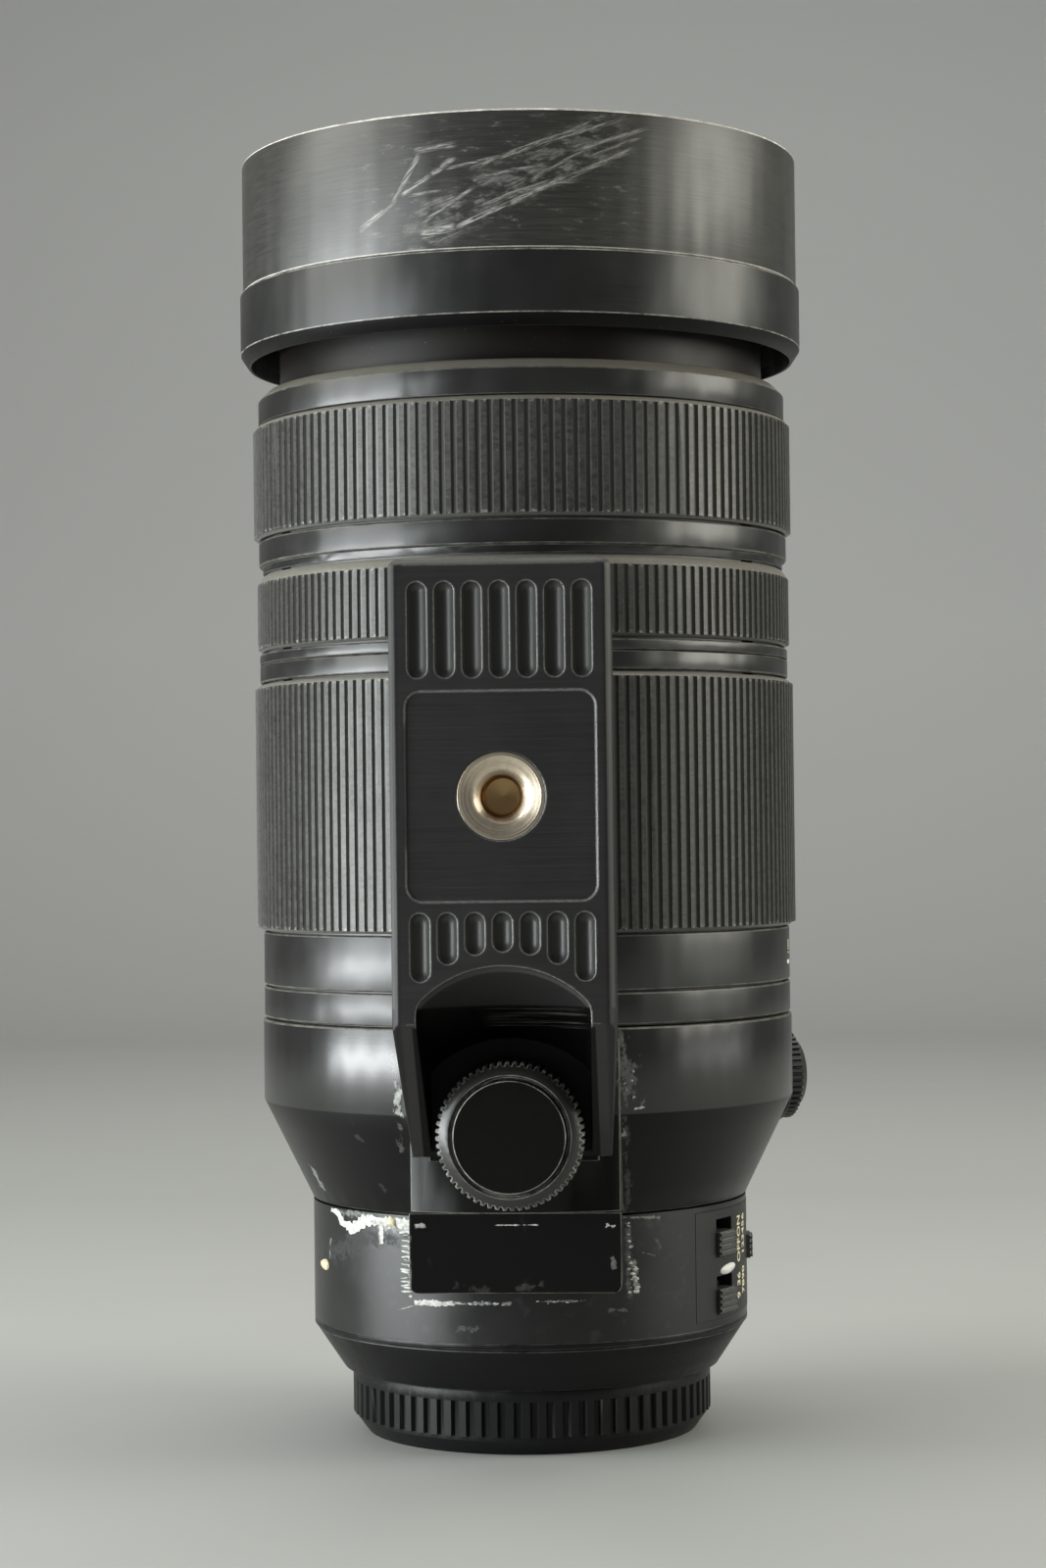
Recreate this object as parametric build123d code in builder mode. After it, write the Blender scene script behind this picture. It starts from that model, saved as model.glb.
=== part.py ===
from build123d import *
import os
from math import cos, radians, sin, sqrt

# Camera zoom lens standing on its rear cap, in millimetres.
# The Z axis is the optical axis and points to the front, with zero at the face the cap stands on.
# The tripod foot is on the -Y side. Azimuths are counted from the foot's side towards +X.

# Gaps and allowances
turning_gap = 0.3
seam = 0.2
fit_gap = 0.05
slot_gap = 0.1
tube_gap = 0.4
angle_play = 0.2
overrun = 1.0

# Lengths along the axis, from the rear to the front
cap_height = 9.6
skirt_length = 7.5
barrel_length = 18.1
cone_length = 15.1
collar_length = 12.3
rear_band_length = 4.7
index_band_length = 8.1
zoom_length = 37.3
mid_band_length = 2.7
lock_base_length = 1.6
lock_length = 11.6
lock_gap_length = 1.2
focus_base_length = 3.8
focus_length = 17.1
bezel_length = 5.2
neck_length = 4.25
hood_rear_length = 11.0
hood_front_length = 19.85

# Outer radii
cap_radius = 27.5
skirt_rear_radius = 28.8
barrel_radius = 33.3
collar_radius = 40.7
band_radius = 40.5
mid_radius = 40.7
zoom_radius = 41.5
lock_radius = 41.0
focus_radius = 41.45
lock_gap_radius = 40.1
hood_rear_radius = 43.2
hood_front_radius = 42.75
bezel_radius = 40.6
fixed_tube_radius = 39.6
inner_barrel_radius = 37.2

# Walls of the tubes inside one another
fixed_tube_wall = 1.6
inner_barrel_wall = 1.3
cam_tube_wall = 1.5
guide_tube_wall = 1.4

# Travels
zoom_turn = 90
zoom_travel = 60.0
variator_travel = 22.0
focus_travel = 6.0
switch_travel = 1.7
steady_travel = 0.5

# Ribbed grips
rib_depth = 0.45
rib_land_share = 0.46
rib_flank_share = 0.15
zoom_ribs = 159
lock_ribs = 160
focus_ribs = 148
grip_edge = 0.6
lock_lip = 1.3
edge_height = 0.4

# Rear cap
cap_wall = 2.2
cap_floor = 1.8
cap_bevel = 2.2
cap_ribs = 72
cap_rib_margin = 0.6
cap_rim = 1.6
cap_rib_depth = 0.6
cap_lip_wall = 1.6
cap_lug_thickness = 1.0
cap_lug_reach = 2.0

# Bayonet and its screws and contacts
flange_inset = 1.2
flange_thickness = 1.2
bayonet_radius = 19.0
bayonet_wall = 1.4
bayonet_length = 5.7
lug_thickness = 1.3
lug_reach = 1.9
lug_span = 38
lug_count = 3
screw_head_radius = 1.7
screw_head_height = 0.7
screw_shank_radius = 0.9
screw_length = 4.6
screw_count = 4
contact_block_width = 2.6
contact_block_height = 7.6
contact_span = 84
contact_pin_radius = 0.55
contact_pin_length = 3.0
contact_pin_lift = 0.6
contact_count = 11

# Black mount skirt
skirt_wall = 2.6
skirt_web = 2.4
skirt_band = 0.9
skirt_groove = 0.3

# Rear barrel and its neck inside the collar
barrel_wall = 1.9
neck_inset = 2.1
neck_wall = 1.8
neck_step = 1.6

# Main frame that carries the collar and the fixed tube
frame_flange_thickness = 1.7
journal_wall = 1.8
spigot_length = 5.6

# Turning collar with its tongue, block, pad and lock boss
collar_wall = 1.7
cone_wall = 1.4
tongue_rise = 0.3
tongue_width = 30.0
tongue_offset = 1.4
tongue_margin = 1.7
block_length = 11.4
block_width = 30.2
block_face = 40.4
block_corner = 1.2
block_clearance = 1.8
pad_width = 24.0
pad_rise = 0.3
pad_margin = 1.1
collar_knob_azimuth = 112
collar_knob_offset = 1.6
collar_knob_radius = 7.1
collar_knob_height = 3.4
collar_knob_bevel = 1.3
collar_knob_teeth = 44
collar_knob_rib_depth = 0.45
collar_boss_radius = 7.6
collar_boss_rise = 0.5
collar_stud_radius = 1.6
collar_stud_reach = 1.6

# Tripod foot
foot_width = 30.3
foot_base_width = 28.0
foot_offset = 9.9
foot_cheek_length = 19.6
foot_length = 63.2
foot_standoff = 20.7
foot_thickness = 8.0
foot_base_thickness = 3.9
foot_leg_thickness = 4.3
foot_seat_margin = 0.4
foot_leg_step = 3.2
foot_leg_length = 18.0
foot_edge = 0.8
foot_corner = 1.3
foot_leg_round = 6.0
pad_recess_width = 26.0
pad_recess_length = 28.6
pad_recess_offset = 16.6
pad_recess_corner = 2.3
pad_recess_depth = 0.3
groove_count = 7
groove_pitch = 3.74
groove_width = 2.7
groove_depth = 1.15
groove_margin = 1.8
upper_groove_length = 13.1
lower_groove_length = 5.3
lower_groove_margin = 1.5
arch_margin = 1.9
arch_tip_radius = 17.7
arch_half_width = 11.9
arch_floor_half_width = 11.3
arch_floor_margin = 3.0
arch_floor_thickness = 4.6
arch_shoulder = 3.0

# Tripod bush in the foot
bush_radius = 6.0
bush_mouth_radius = 3.9
bush_bore = 2.6
bush_depth = 6.6
bush_dish = 0.5

# Knob that clamps the foot
foot_knob_offset = 3.3
foot_knob_radius = 10.4
foot_knob_teeth = 60
foot_knob_rib_depth = 0.55
foot_knob_grip_length = 4.5
foot_knob_disc_radius = 8.2
foot_knob_disc_rise = 1.3
foot_knob_bevel = 0.8
foot_knob_ring = 0.35
foot_screw_radius = 2.0
foot_screw_play = 0.25
foot_screw_reach = 1.7

# Switch panel on the rear barrel
panel_azimuth = 76
panel_span = 52
panel_margin = 1.1
panel_top_margin = 0.8
panel_thickness = 1.0
panel_proud = 0.05
switch_azimuth = 63.5
steady_switch_azimuth = 91
switch_span = 8.4
switch_length = 3.6
switch_proud = 1.0
switch_root = 1.6
switch_ribs = 4
switch_rib_height = 0.35
switch_rib_share = 0.5
focus_switch_offset = 9.3
limit_switch_offset = 0.8
steady_switch_offset = 7.0

# Zoom drive
follower_radius = 1.6
follower_offset = 4.0
follower_count = 3
first_follower = 60
key_offset = 2.8
key_height = 3.0
key_clearance = 1.4
key_span = 8
key_play = 2
key_azimuth = 40
guide_flange = 2.2
cam_end = 4.5
variator_azimuth = 110

# Lands that lenses are held by
lens_land = 1.2
lens_seat = 1.1

# Front group in the extending barrel
cell_margin = 7.5
cell_end = 4.0
lens_spacing = 5.4
barrel_end = 4.1
front_flange_length = 6.0
front_flange_rise = 1.4
front_cell_wall = 2.2
front_lens_wall = 2.65
second_lens_wall = 3.65
filter_bore = 35.6
filter_depth = 3.4
front_lens_edge = 3.2
front_lens_bulge = 3.2
front_lens_hollow = 1.0
second_lens_edge = 3.0
second_lens_bulge = 1.6
retainer_height = 1.8
felt_height = 2.6
felt_thickness = 0.8

# Sliding hood
hood_bevel_height = 1.8
hood_bevel_width = 1.2
hood_step_edge = 0.3
hood_lip_height = 2.0

# Fixed pieces near the front
bezel_chamfer = 1.4
seal_height = 1.8
magnet_wall = 0.5
magnet_inset = 2.0
sensor_offset = 4.6
sensor_height = 6.0
sensor_span = 16
sensor_azimuth = 150

# Groups inside the guide tube
rod_radius = 1.0
rod_inset = 4.2
rod_web_thickness = 2.0
rod_web_reach = 3.0
rod_count = 2
housing_offset = 3.9
housing_wall = 1.4
housing_bore = 18.0
housing_room = 16.0
iris_room = 3.8
iris_ring_width = 7.6
iris_ring_height = 1.4
iris_blade_thickness = 0.3
iris_blade_count = 9
iris_blade_layers = 3
iris_blade_span = 100
iris_blade_width = 5.4
steady_radius = 25.0
steady_height = 5.0
steady_lens_radius = 14.0
steady_cell_wall = 3.0
steady_lens_edge = 3.0
steady_lens_bulge = 1.2
focus_margin = 2.0
focus_cell_height = 6.0
focus_lens_radius = 17.0
focus_rim = 2.0
focus_ear_radius = 2.6
focus_motor_span = 24
focus_motor_depth = 4.0
focus_motor_azimuth = 180
variator_margin = 5.4
variator_height = 9.2
variator_wall = 5.8
rear_cell_offset = 1.7
rear_cell_radius = 14.6
rear_cell_wall = 1.4
rear_cell_flange_offset = 4.6
rear_cell_flange = 1.6
rear_cell_end = 2.4
rear_lens_offset = 1.8
rear_lens_edge = 3.0
rear_lens_bulge = 1.6
board_offset = 11.2
board_thickness = 1.2
board_bore = 18.0
board_chip_width = 6.0
board_chip_circle = 25.0
board_chip_height = 1.2
board_chips = 5

# Heights of the outer pieces, worked out from their lengths
flange_rear = cap_height + turning_gap
skirt_front = flange_rear + skirt_length
barrel_front = skirt_front + barrel_length
collar_rear = barrel_front + turning_gap
cone_front = collar_rear + cone_length
collar_front = cone_front + collar_length
rear_band_rear = collar_front + turning_gap
rear_band_front = rear_band_rear + rear_band_length
index_rear = rear_band_front + seam
index_front = index_rear + index_band_length
zoom_rear = index_front + turning_gap
zoom_front = zoom_rear + zoom_length
mid_rear = zoom_front + turning_gap
mid_front = mid_rear + mid_band_length
lock_base_rear = mid_front + seam
lock_base_front = lock_base_rear + lock_base_length
lock_rear = lock_base_front + turning_gap
lock_front = lock_rear + lock_length
lock_gap_rear = lock_front + turning_gap
lock_gap_front = lock_gap_rear + lock_gap_length
focus_base_front = lock_gap_front + focus_base_length
focus_rear = focus_base_front + turning_gap
focus_front = focus_rear + focus_length
bezel_rear = focus_front + turning_gap
bezel_front = bezel_rear + bezel_length
hood_rear = bezel_front + neck_length
hood_step = hood_rear + hood_rear_length
hood_front = hood_step + hood_front_length
hood_travel = neck_length + bezel_length

# Radii of the tubes, from the outside in
ring_bore = fixed_tube_radius + turning_gap
fixed_tube_bore = fixed_tube_radius - fixed_tube_wall
inner_barrel_bore = inner_barrel_radius - inner_barrel_wall
cam_tube_radius = inner_barrel_bore - tube_gap
cam_tube_bore = cam_tube_radius - cam_tube_wall
guide_tube_radius = cam_tube_bore - tube_gap
guide_tube_bore = guide_tube_radius - guide_tube_wall
cell_radius = guide_tube_bore - tube_gap
journal_radius = fixed_tube_bore - tube_gap
journal_bore = journal_radius - journal_wall
liner_bore = journal_radius + slot_gap
frame_flange_radius = liner_bore + seam

# Places of the inner pieces, worked out from what carries them
fixed_tube_front = bezel_front - bezel_chamfer
frame_rear = cone_front - frame_flange_thickness + seam
frame_web_front = frame_rear + frame_flange_thickness
key_low = zoom_rear + key_offset
barrel_rear = key_low + key_height + key_clearance
follower_height = barrel_rear + follower_offset
cam_rear = collar_front + spigot_length + guide_flange
cam_front = follower_height + zoom_travel + cam_end
cell_rear = cam_front + cell_margin
second_lens_rear = cell_rear + cell_end
front_lens_rear = second_lens_rear + second_lens_edge + lens_spacing
barrel_front_height = front_lens_rear + barrel_end
front_cell_front = barrel_front_height + front_flange_length
guide_ring_rear = bezel_front + turning_gap + hood_travel + hood_lip_height + seam
housing_rear = frame_web_front + housing_offset
iris_web_rear = housing_rear + housing_wall + housing_room
iris_rear = iris_web_rear + housing_wall
iris_front = iris_rear + iris_room
housing_front = iris_front + housing_wall
focus_cell_rear = housing_front + focus_travel + focus_margin
rod_web_rear = focus_cell_rear + focus_cell_height + focus_travel + focus_margin
rod_front = rod_web_rear + rod_web_thickness
variator_rear = rod_front + variator_margin
variator_pin_height = variator_rear + variator_height / 2
rod_circle = guide_tube_bore - rod_inset


def turned(*corners):
    """Closed outline of (radius, height) corners, ready to turn about the optical axis."""
    with BuildSketch(Plane.XZ) as outline:
        with BuildLine():
            Polyline(*corners, close=True)
        make_face()
    return outline.sketch


def band(inner, outer, low, high):
    """Rectangular outline of a plain ring."""
    return turned((inner, low), (outer, low), (outer, high), (inner, high))


def at_azimuth(azimuth, distance, height):
    """Plane that faces away from the optical axis, with its local Y along the axis."""
    turn = radians(azimuth)
    outward = (sin(turn), -cos(turn), 0)
    origin = (distance * sin(turn), -distance * cos(turn), height)
    return Plane(origin=origin, x_dir=(cos(turn), sin(turn), 0), z_dir=outward)


def sector(inner, outer, azimuth, span, height):
    """Piece of a ring's face, centred on an azimuth."""
    start = azimuth - 90 - span / 2
    with BuildSketch(Plane.XY.offset(height)) as shape:
        with BuildLine():
            far = CenterArc((0, 0), outer, start, span)
            near = CenterArc((0, 0), inner, start, span)
            Line(far @ 0, near @ 0)
            Line(far @ 1, near @ 1)
        make_face()
    return shape.sketch


def ribbed(plane, radius, depth, ribs):
    """Cross-section of a ribbed grip: flat lands parted by narrow grooves."""
    step = 360 / ribs
    floor = radius - depth
    corners = []
    for rib in range(ribs):
        for share, reach in (
            (0, radius),
            (rib_land_share, radius),
            (rib_land_share + rib_flank_share, floor),
            (1 - rib_flank_share, floor),
        ):
            turn = radians((rib + share) * step)
            corners.append((reach * cos(turn), reach * sin(turn)))
    with BuildSketch(plane) as section:
        with BuildLine():
            Polyline(*corners, close=True)
        make_face()
    return section.sketch


def lens_outline(rim, rear, edge, rear_bulge, front_bulge):
    """Half section of a lens, bulging at its axis inside a flat land at its rim."""
    front = rear + edge
    land = rim - lens_land
    with BuildSketch(Plane.XZ) as outline:
        with BuildLine():
            Line((0, rear - rear_bulge), (0, front + front_bulge))
            TangentArc((0, front + front_bulge), (land, front), tangent=(1, 0))
            Line((land, front), (rim, front))
            Line((rim, front), (rim, rear))
            Line((rim, rear), (land, rear))
            TangentArc((0, rear - rear_bulge), (land, rear), tangent=(1, 0))
        make_face()
    return outline.sketch


def helical_cutter(width, azimuth, low, travel):
    """Solid that cuts a slot along a helix which falls back as the tube turns."""
    pitch = travel * 360 / zoom_turn
    middle = (cam_tube_radius + cam_tube_bore) / 2
    path = Helix(pitch=pitch, height=travel, radius=middle, lefthand=True)
    start = Plane(origin=path @ 0, x_dir=(1, 0, 0), z_dir=path % 0)
    with BuildPart() as cutter:
        with BuildSketch(start) as section:
            Rectangle(cam_tube_wall + overrun, width)
        sweep(sections=section.sketch, path=path, is_frenet=True)
    placed = cutter.part.moved(Location((0, 0, low), (0, 0, azimuth - 90)))
    return placed


def write(piece, name):
    """Label a finished piece and write it under its own name."""
    piece.part.label = name
    export_step(piece.part, f"parts/{name}.step")


os.makedirs("parts", exist_ok=True)

# Rear cap
cap_rib_low = cap_bevel + cap_rib_margin
cap_rib_high = cap_height - cap_rim
cap_lip_radius = bayonet_radius + lug_reach + cap_rib_margin
bayonet_rear = flange_rear - bayonet_length
cap_lug_low = bayonet_rear + lug_thickness + turning_gap
lug_turn = 360 / lug_count
with BuildPart() as rear_cap:
    rib_floor = cap_radius - cap_rib_depth
    revolve(turned(
        (0, 0),
        (cap_radius - cap_bevel, 0),
        (rib_floor, cap_bevel),
        (rib_floor, cap_rib_low),
        (rib_floor, cap_rib_high),
        (cap_radius, cap_rib_high),
        (cap_radius, cap_height),
        (cap_radius - cap_wall, cap_height),
        (cap_radius - cap_wall, cap_floor),
        (0, cap_floor),
    ))
    extrude(ribbed(Plane.XY.offset(cap_rib_low), cap_radius, cap_rib_depth, cap_ribs),
            amount=cap_rib_high - cap_rib_low)
    with BuildSketch(Plane.XY.offset(cap_floor)):
        Circle(cap_radius - cap_wall)
    extrude(amount=cap_rib_high - cap_floor, mode=Mode.SUBTRACT)
    lip_outer = cap_lip_radius + cap_lip_wall
    revolve(band(cap_lip_radius, lip_outer, cap_floor, cap_lug_low + cap_lug_thickness))
    for lug in range(lug_count):
        extrude(sector(cap_lip_radius - cap_lug_reach, cap_lip_radius + fit_gap,
                       lug_turn * (lug + 1 / 2), lug_span, cap_lug_low),
                amount=cap_lug_thickness)
write(rear_cap, "rear_cap")

# Bayonet flange with its tube, lugs and screw holes
flange_radius = skirt_rear_radius - flange_inset
screw_circle = (flange_radius + bayonet_radius) / 2
bayonet_bore = bayonet_radius - bayonet_wall
with BuildPart() as bayonet_mount:
    revolve(turned(
        (bayonet_bore, bayonet_rear),
        (bayonet_radius, bayonet_rear),
        (bayonet_radius, flange_rear),
        (flange_radius, flange_rear),
        (flange_radius, flange_rear + flange_thickness),
        (bayonet_bore, flange_rear + flange_thickness),
    ))
    for lug in range(lug_count):
        extrude(sector(bayonet_radius - fit_gap, bayonet_radius + lug_reach,
                       lug_turn * lug, lug_span, bayonet_rear),
                amount=lug_thickness)
    with BuildSketch(Plane.XY.offset(flange_rear)):
        with PolarLocations(screw_circle, screw_count, start_angle=45):
            Circle(screw_head_radius + fit_gap)
    extrude(amount=screw_head_height, mode=Mode.SUBTRACT)
    with BuildSketch(Plane.XY.offset(flange_rear)):
        with PolarLocations(screw_circle, screw_count, start_angle=45):
            Circle(screw_shank_radius + fit_gap)
    extrude(amount=flange_thickness, mode=Mode.SUBTRACT)
write(bayonet_mount, "bayonet_mount")

# Screws that hold the bayonet
with BuildPart() as mount_screws:
    with BuildSketch(Plane.XY.offset(flange_rear)):
        with PolarLocations(screw_circle, screw_count, start_angle=45):
            Circle(screw_head_radius)
    extrude(amount=screw_head_height)
    with BuildSketch(Plane.XY.offset(flange_rear)):
        with PolarLocations(screw_circle, screw_count, start_angle=45):
            Circle(screw_shank_radius)
    extrude(amount=screw_length)
    with BuildSketch(Plane.XY.offset(flange_rear)):
        with PolarLocations(screw_circle, screw_count, start_angle=45):
            Rectangle(screw_shank_radius * 2, screw_shank_radius / 2)
            Rectangle(screw_shank_radius / 2, screw_shank_radius * 2)
    extrude(amount=screw_head_height / 2, mode=Mode.SUBTRACT)
write(mount_screws, "mount_screws")

# Black skirt between the bayonet and the rear barrel
with BuildPart() as mount_skirt:
    flange_seat = flange_radius + fit_gap
    flange_front = flange_rear + flange_thickness
    skirt_bore = screw_circle - screw_shank_radius * 2
    groove_height = skirt_front - skirt_band - skirt_groove
    web_front = flange_front + skirt_web
    slope = (barrel_radius - skirt_rear_radius) / (groove_height - flange_rear)
    revolve(turned(
        (flange_seat, flange_rear),
        (skirt_rear_radius, flange_rear),
        (barrel_radius - skirt_groove, groove_height),
        (barrel_radius - skirt_groove * 2, groove_height + skirt_groove),
        (barrel_radius, skirt_front - skirt_band),
        (barrel_radius, skirt_front),
        (barrel_radius - skirt_wall, skirt_front),
        (skirt_rear_radius + slope * (web_front - flange_rear) - skirt_wall, web_front),
        (skirt_bore, web_front),
        (skirt_bore, flange_front),
        (flange_seat, flange_front),
    ))
    with BuildSketch(Plane.XY.offset(flange_front)):
        with PolarLocations(screw_circle, screw_count, start_angle=45):
            Circle(screw_shank_radius + fit_gap)
    extrude(amount=skirt_web + overrun, mode=Mode.SUBTRACT)
write(mount_skirt, "mount_skirt")

# Contact block and its pins
contact_front = flange_rear + flange_thickness + skirt_web
contact_rear = contact_front - contact_block_height
contact_step = contact_span / contact_count
contact_outer = bayonet_bore - fit_gap
contact_circle = contact_outer - contact_block_width / 2
with BuildPart() as contact_block:
    extrude(sector(contact_outer - contact_block_width, contact_outer, 180, contact_span, contact_rear),
            amount=contact_block_height)
    with BuildSketch(Plane.XY.offset(contact_rear)):
        for pin in range(contact_count):
            turn = radians(90 + (pin - (contact_count - 1) / 2) * contact_step)
            with Locations((contact_circle * cos(turn), contact_circle * sin(turn))):
                Circle(contact_pin_radius + fit_gap)
    extrude(amount=contact_pin_length, mode=Mode.SUBTRACT)
write(contact_block, "contact_block")

with BuildPart() as contact_pins:
    with BuildSketch(Plane.XY.offset(contact_rear - contact_pin_lift)):
        for pin in range(contact_count):
            turn = radians(90 + (pin - (contact_count - 1) / 2) * contact_step)
            with Locations((contact_circle * cos(turn), contact_circle * sin(turn))):
                Circle(contact_pin_radius)
    extrude(amount=contact_pin_length + contact_pin_lift)
write(contact_pins, "contact_pins")

# Rear barrel, with a window for the switch panel and a neck inside the collar
barrel_bore = barrel_radius - barrel_wall
neck_radius = barrel_radius - neck_inset
neck_bore = neck_radius - neck_wall
panel_low = skirt_front + panel_margin
panel_high = barrel_front - panel_top_margin
focus_switch_low = panel_low + focus_switch_offset
limit_switch_low = panel_low + limit_switch_offset
steady_switch_low = panel_low + steady_switch_offset
panel_reach = barrel_radius - panel_thickness
with BuildPart() as rear_barrel:
    revolve(turned(
        (barrel_bore, skirt_front),
        (barrel_radius, skirt_front),
        (barrel_radius, barrel_front),
        (neck_radius, barrel_front),
        (neck_radius, frame_rear),
        (neck_bore, frame_rear),
        (neck_bore, barrel_front - neck_step),
        (barrel_bore, barrel_front - neck_step * 2),
    ))
    extrude(sector(panel_reach, barrel_radius + overrun, panel_azimuth, panel_span, panel_low),
            amount=panel_high - panel_low, mode=Mode.SUBTRACT)
    for azimuth, low in (
        (switch_azimuth, focus_switch_low),
        (switch_azimuth, limit_switch_low),
        (steady_switch_azimuth, steady_switch_low),
    ):
        extrude(sector(barrel_bore - overrun, barrel_radius, azimuth,
                       switch_span + angle_play * 2, low - slot_gap * 2),
                amount=switch_length + switch_travel + slot_gap * 4, mode=Mode.SUBTRACT)
write(rear_barrel, "rear_barrel")

# Switch panel that fills the window
with BuildPart() as switch_plate:
    extrude(sector(panel_reach, barrel_radius + panel_proud, panel_azimuth,
                   panel_span - angle_play, panel_low + fit_gap),
            amount=panel_high - panel_low - fit_gap * 2)
    for azimuth, low in (
        (switch_azimuth, focus_switch_low),
        (switch_azimuth, limit_switch_low),
        (steady_switch_azimuth, steady_switch_low),
    ):
        extrude(sector(panel_reach - overrun, barrel_radius + overrun, azimuth,
                       switch_span + angle_play * 2, low - slot_gap * 2),
                amount=switch_length + switch_travel + slot_gap * 4, mode=Mode.SUBTRACT)
write(switch_plate, "switch_plate")

# Ribbed switch sliders, each with a root behind the panel
rib_room = switch_length / switch_ribs
for azimuth, low, name in (
    (switch_azimuth, focus_switch_low, "focus_switch"),
    (switch_azimuth, limit_switch_low, "limit_switch"),
    (steady_switch_azimuth, steady_switch_low, "steady_switch"),
):
    switch_floor = barrel_radius + switch_proud - switch_rib_height
    with BuildPart() as slider:
        extrude(sector(barrel_radius - switch_root, switch_floor, azimuth, switch_span, low),
                amount=switch_length)
        for rib in range(switch_ribs):
            extrude(sector(switch_floor - fit_gap, barrel_radius + switch_proud, azimuth, switch_span,
                           low + rib_room * (rib + (1 - switch_rib_share) / 2)),
                    amount=rib_room * switch_rib_share)
    write(slider, name)

# Main frame: a web on the barrel's neck, the collar's journal and a spigot for the fixed tube
with BuildPart() as main_frame:
    revolve(turned(
        (neck_bore, frame_rear),
        (frame_flange_radius, frame_rear),
        (frame_flange_radius, frame_web_front),
        (journal_radius, frame_web_front),
        (journal_radius, collar_front + seam / 2),
        (fixed_tube_bore, collar_front + seam / 2),
        (fixed_tube_bore, collar_front + spigot_length),
        (journal_bore, collar_front + spigot_length),
        (journal_bore, frame_web_front),
        (neck_bore, frame_web_front),
    ))
write(main_frame, "main_frame")

# Fixed tube that the rings turn on, with straight slots for the cam followers
slot_width = (follower_radius + slot_gap) * 2
follower_turns = [first_follower + pin * 360 / follower_count for pin in range(follower_count)]
sensor_low = focus_rear + sensor_offset
with BuildPart() as fixed_tube:
    revolve(band(fixed_tube_bore, fixed_tube_radius, collar_front + seam, fixed_tube_front))
    for azimuth in follower_turns:
        with BuildSketch(at_azimuth(azimuth, fixed_tube_bore - overrun,
                                    follower_height + zoom_travel / 2)):
            SlotCenterToCenter(zoom_travel, slot_width, rotation=90)
        extrude(amount=fixed_tube_wall + overrun * 2, mode=Mode.SUBTRACT)
    extrude(sector(fixed_tube_bore - overrun, fixed_tube_radius + overrun,
                   key_azimuth + zoom_turn / 2, zoom_turn + key_span + key_play,
                   key_low - slot_gap),
            amount=key_height + slot_gap * 2, mode=Mode.SUBTRACT)
    extrude(sector(fixed_tube_bore - overrun, fixed_tube_radius + overrun,
                   sensor_azimuth, sensor_span, sensor_low),
            amount=sensor_height, mode=Mode.SUBTRACT)
write(fixed_tube, "fixed_tube")

# Sensor that reads the focus ring
with BuildPart() as focus_sensor:
    extrude(sector(fixed_tube_bore + fit_gap, fixed_tube_radius - seam, sensor_azimuth,
                   sensor_span - angle_play, sensor_low + fit_gap),
            amount=sensor_height - fit_gap * 2)
write(focus_sensor, "focus_sensor")

# Guide tube with straight slots for the variator's pins and a web that holds the rods
variator_turns = [variator_azimuth + pin * 360 / follower_count for pin in range(follower_count)]
with BuildPart() as guide_tube:
    revolve(turned(
        (guide_tube_bore, frame_web_front),
        (journal_bore - fit_gap, frame_web_front),
        (journal_bore - fit_gap, cam_rear - turning_gap),
        (guide_tube_radius, cam_rear - turning_gap),
        (guide_tube_radius, cam_front + turning_gap),
        (guide_tube_bore, cam_front + turning_gap),
        (guide_tube_bore, rod_front),
        (rod_circle - rod_web_reach, rod_front),
        (rod_circle - rod_web_reach, rod_web_rear),
        (guide_tube_bore, rod_web_rear),
    ))
    with BuildSketch(Plane.XY.offset(rod_web_rear)):
        with PolarLocations(rod_circle, rod_count):
            Circle(rod_radius + fit_gap)
    extrude(amount=rod_front - rod_web_rear, mode=Mode.SUBTRACT)
    for azimuth in variator_turns:
        with BuildSketch(at_azimuth(azimuth, guide_tube_bore - overrun,
                                    variator_pin_height + variator_travel / 2)):
            SlotCenterToCenter(variator_travel, slot_width, rotation=90)
        extrude(amount=guide_tube_wall + overrun * 2, mode=Mode.SUBTRACT)
write(guide_tube, "guide_tube")

# Rear band ring and index ring, fixed round the fixed tube
for name, low, high in (
    ("rear_band_ring", rear_band_rear, rear_band_front),
    ("index_ring", index_rear, index_front),
):
    with BuildPart() as fixed_band:
        revolve(turned(
            (fixed_tube_radius, low),
            (band_radius - seam, low),
            (band_radius, low + seam),
            (band_radius, high - seam),
            (band_radius - seam, high),
            (fixed_tube_radius, high),
        ))
    write(fixed_band, name)

# Fixed band between the zoom ring and the lock ring, with a groove round it
with BuildPart() as mid_band:
    revolve(turned(
        (fixed_tube_radius, mid_rear),
        (mid_radius - seam, mid_rear),
        (mid_radius, mid_rear + seam),
        (mid_radius, mid_front),
        (mid_radius - seam * 2, mid_front),
        (mid_radius - seam * 2, lock_base_rear),
        (mid_radius, lock_base_rear),
        (mid_radius, lock_base_front - seam),
        (mid_radius - seam, lock_base_front),
        (fixed_tube_radius, lock_base_front),
    ))
write(mid_band, "mid_band")

# Fixed band between the lock ring and the focus ring, with a lower step at the lock ring
with BuildPart() as focus_base_ring:
    revolve(turned(
        (fixed_tube_radius, lock_gap_rear),
        (lock_gap_radius, lock_gap_rear),
        (lock_gap_radius, lock_gap_front),
        (mid_radius - seam, lock_gap_front),
        (mid_radius, lock_gap_front + seam),
        (mid_radius, focus_base_front - seam),
        (mid_radius - seam, focus_base_front),
        (fixed_tube_radius, focus_base_front),
    ))
write(focus_base_ring, "focus_base_ring")

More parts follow.
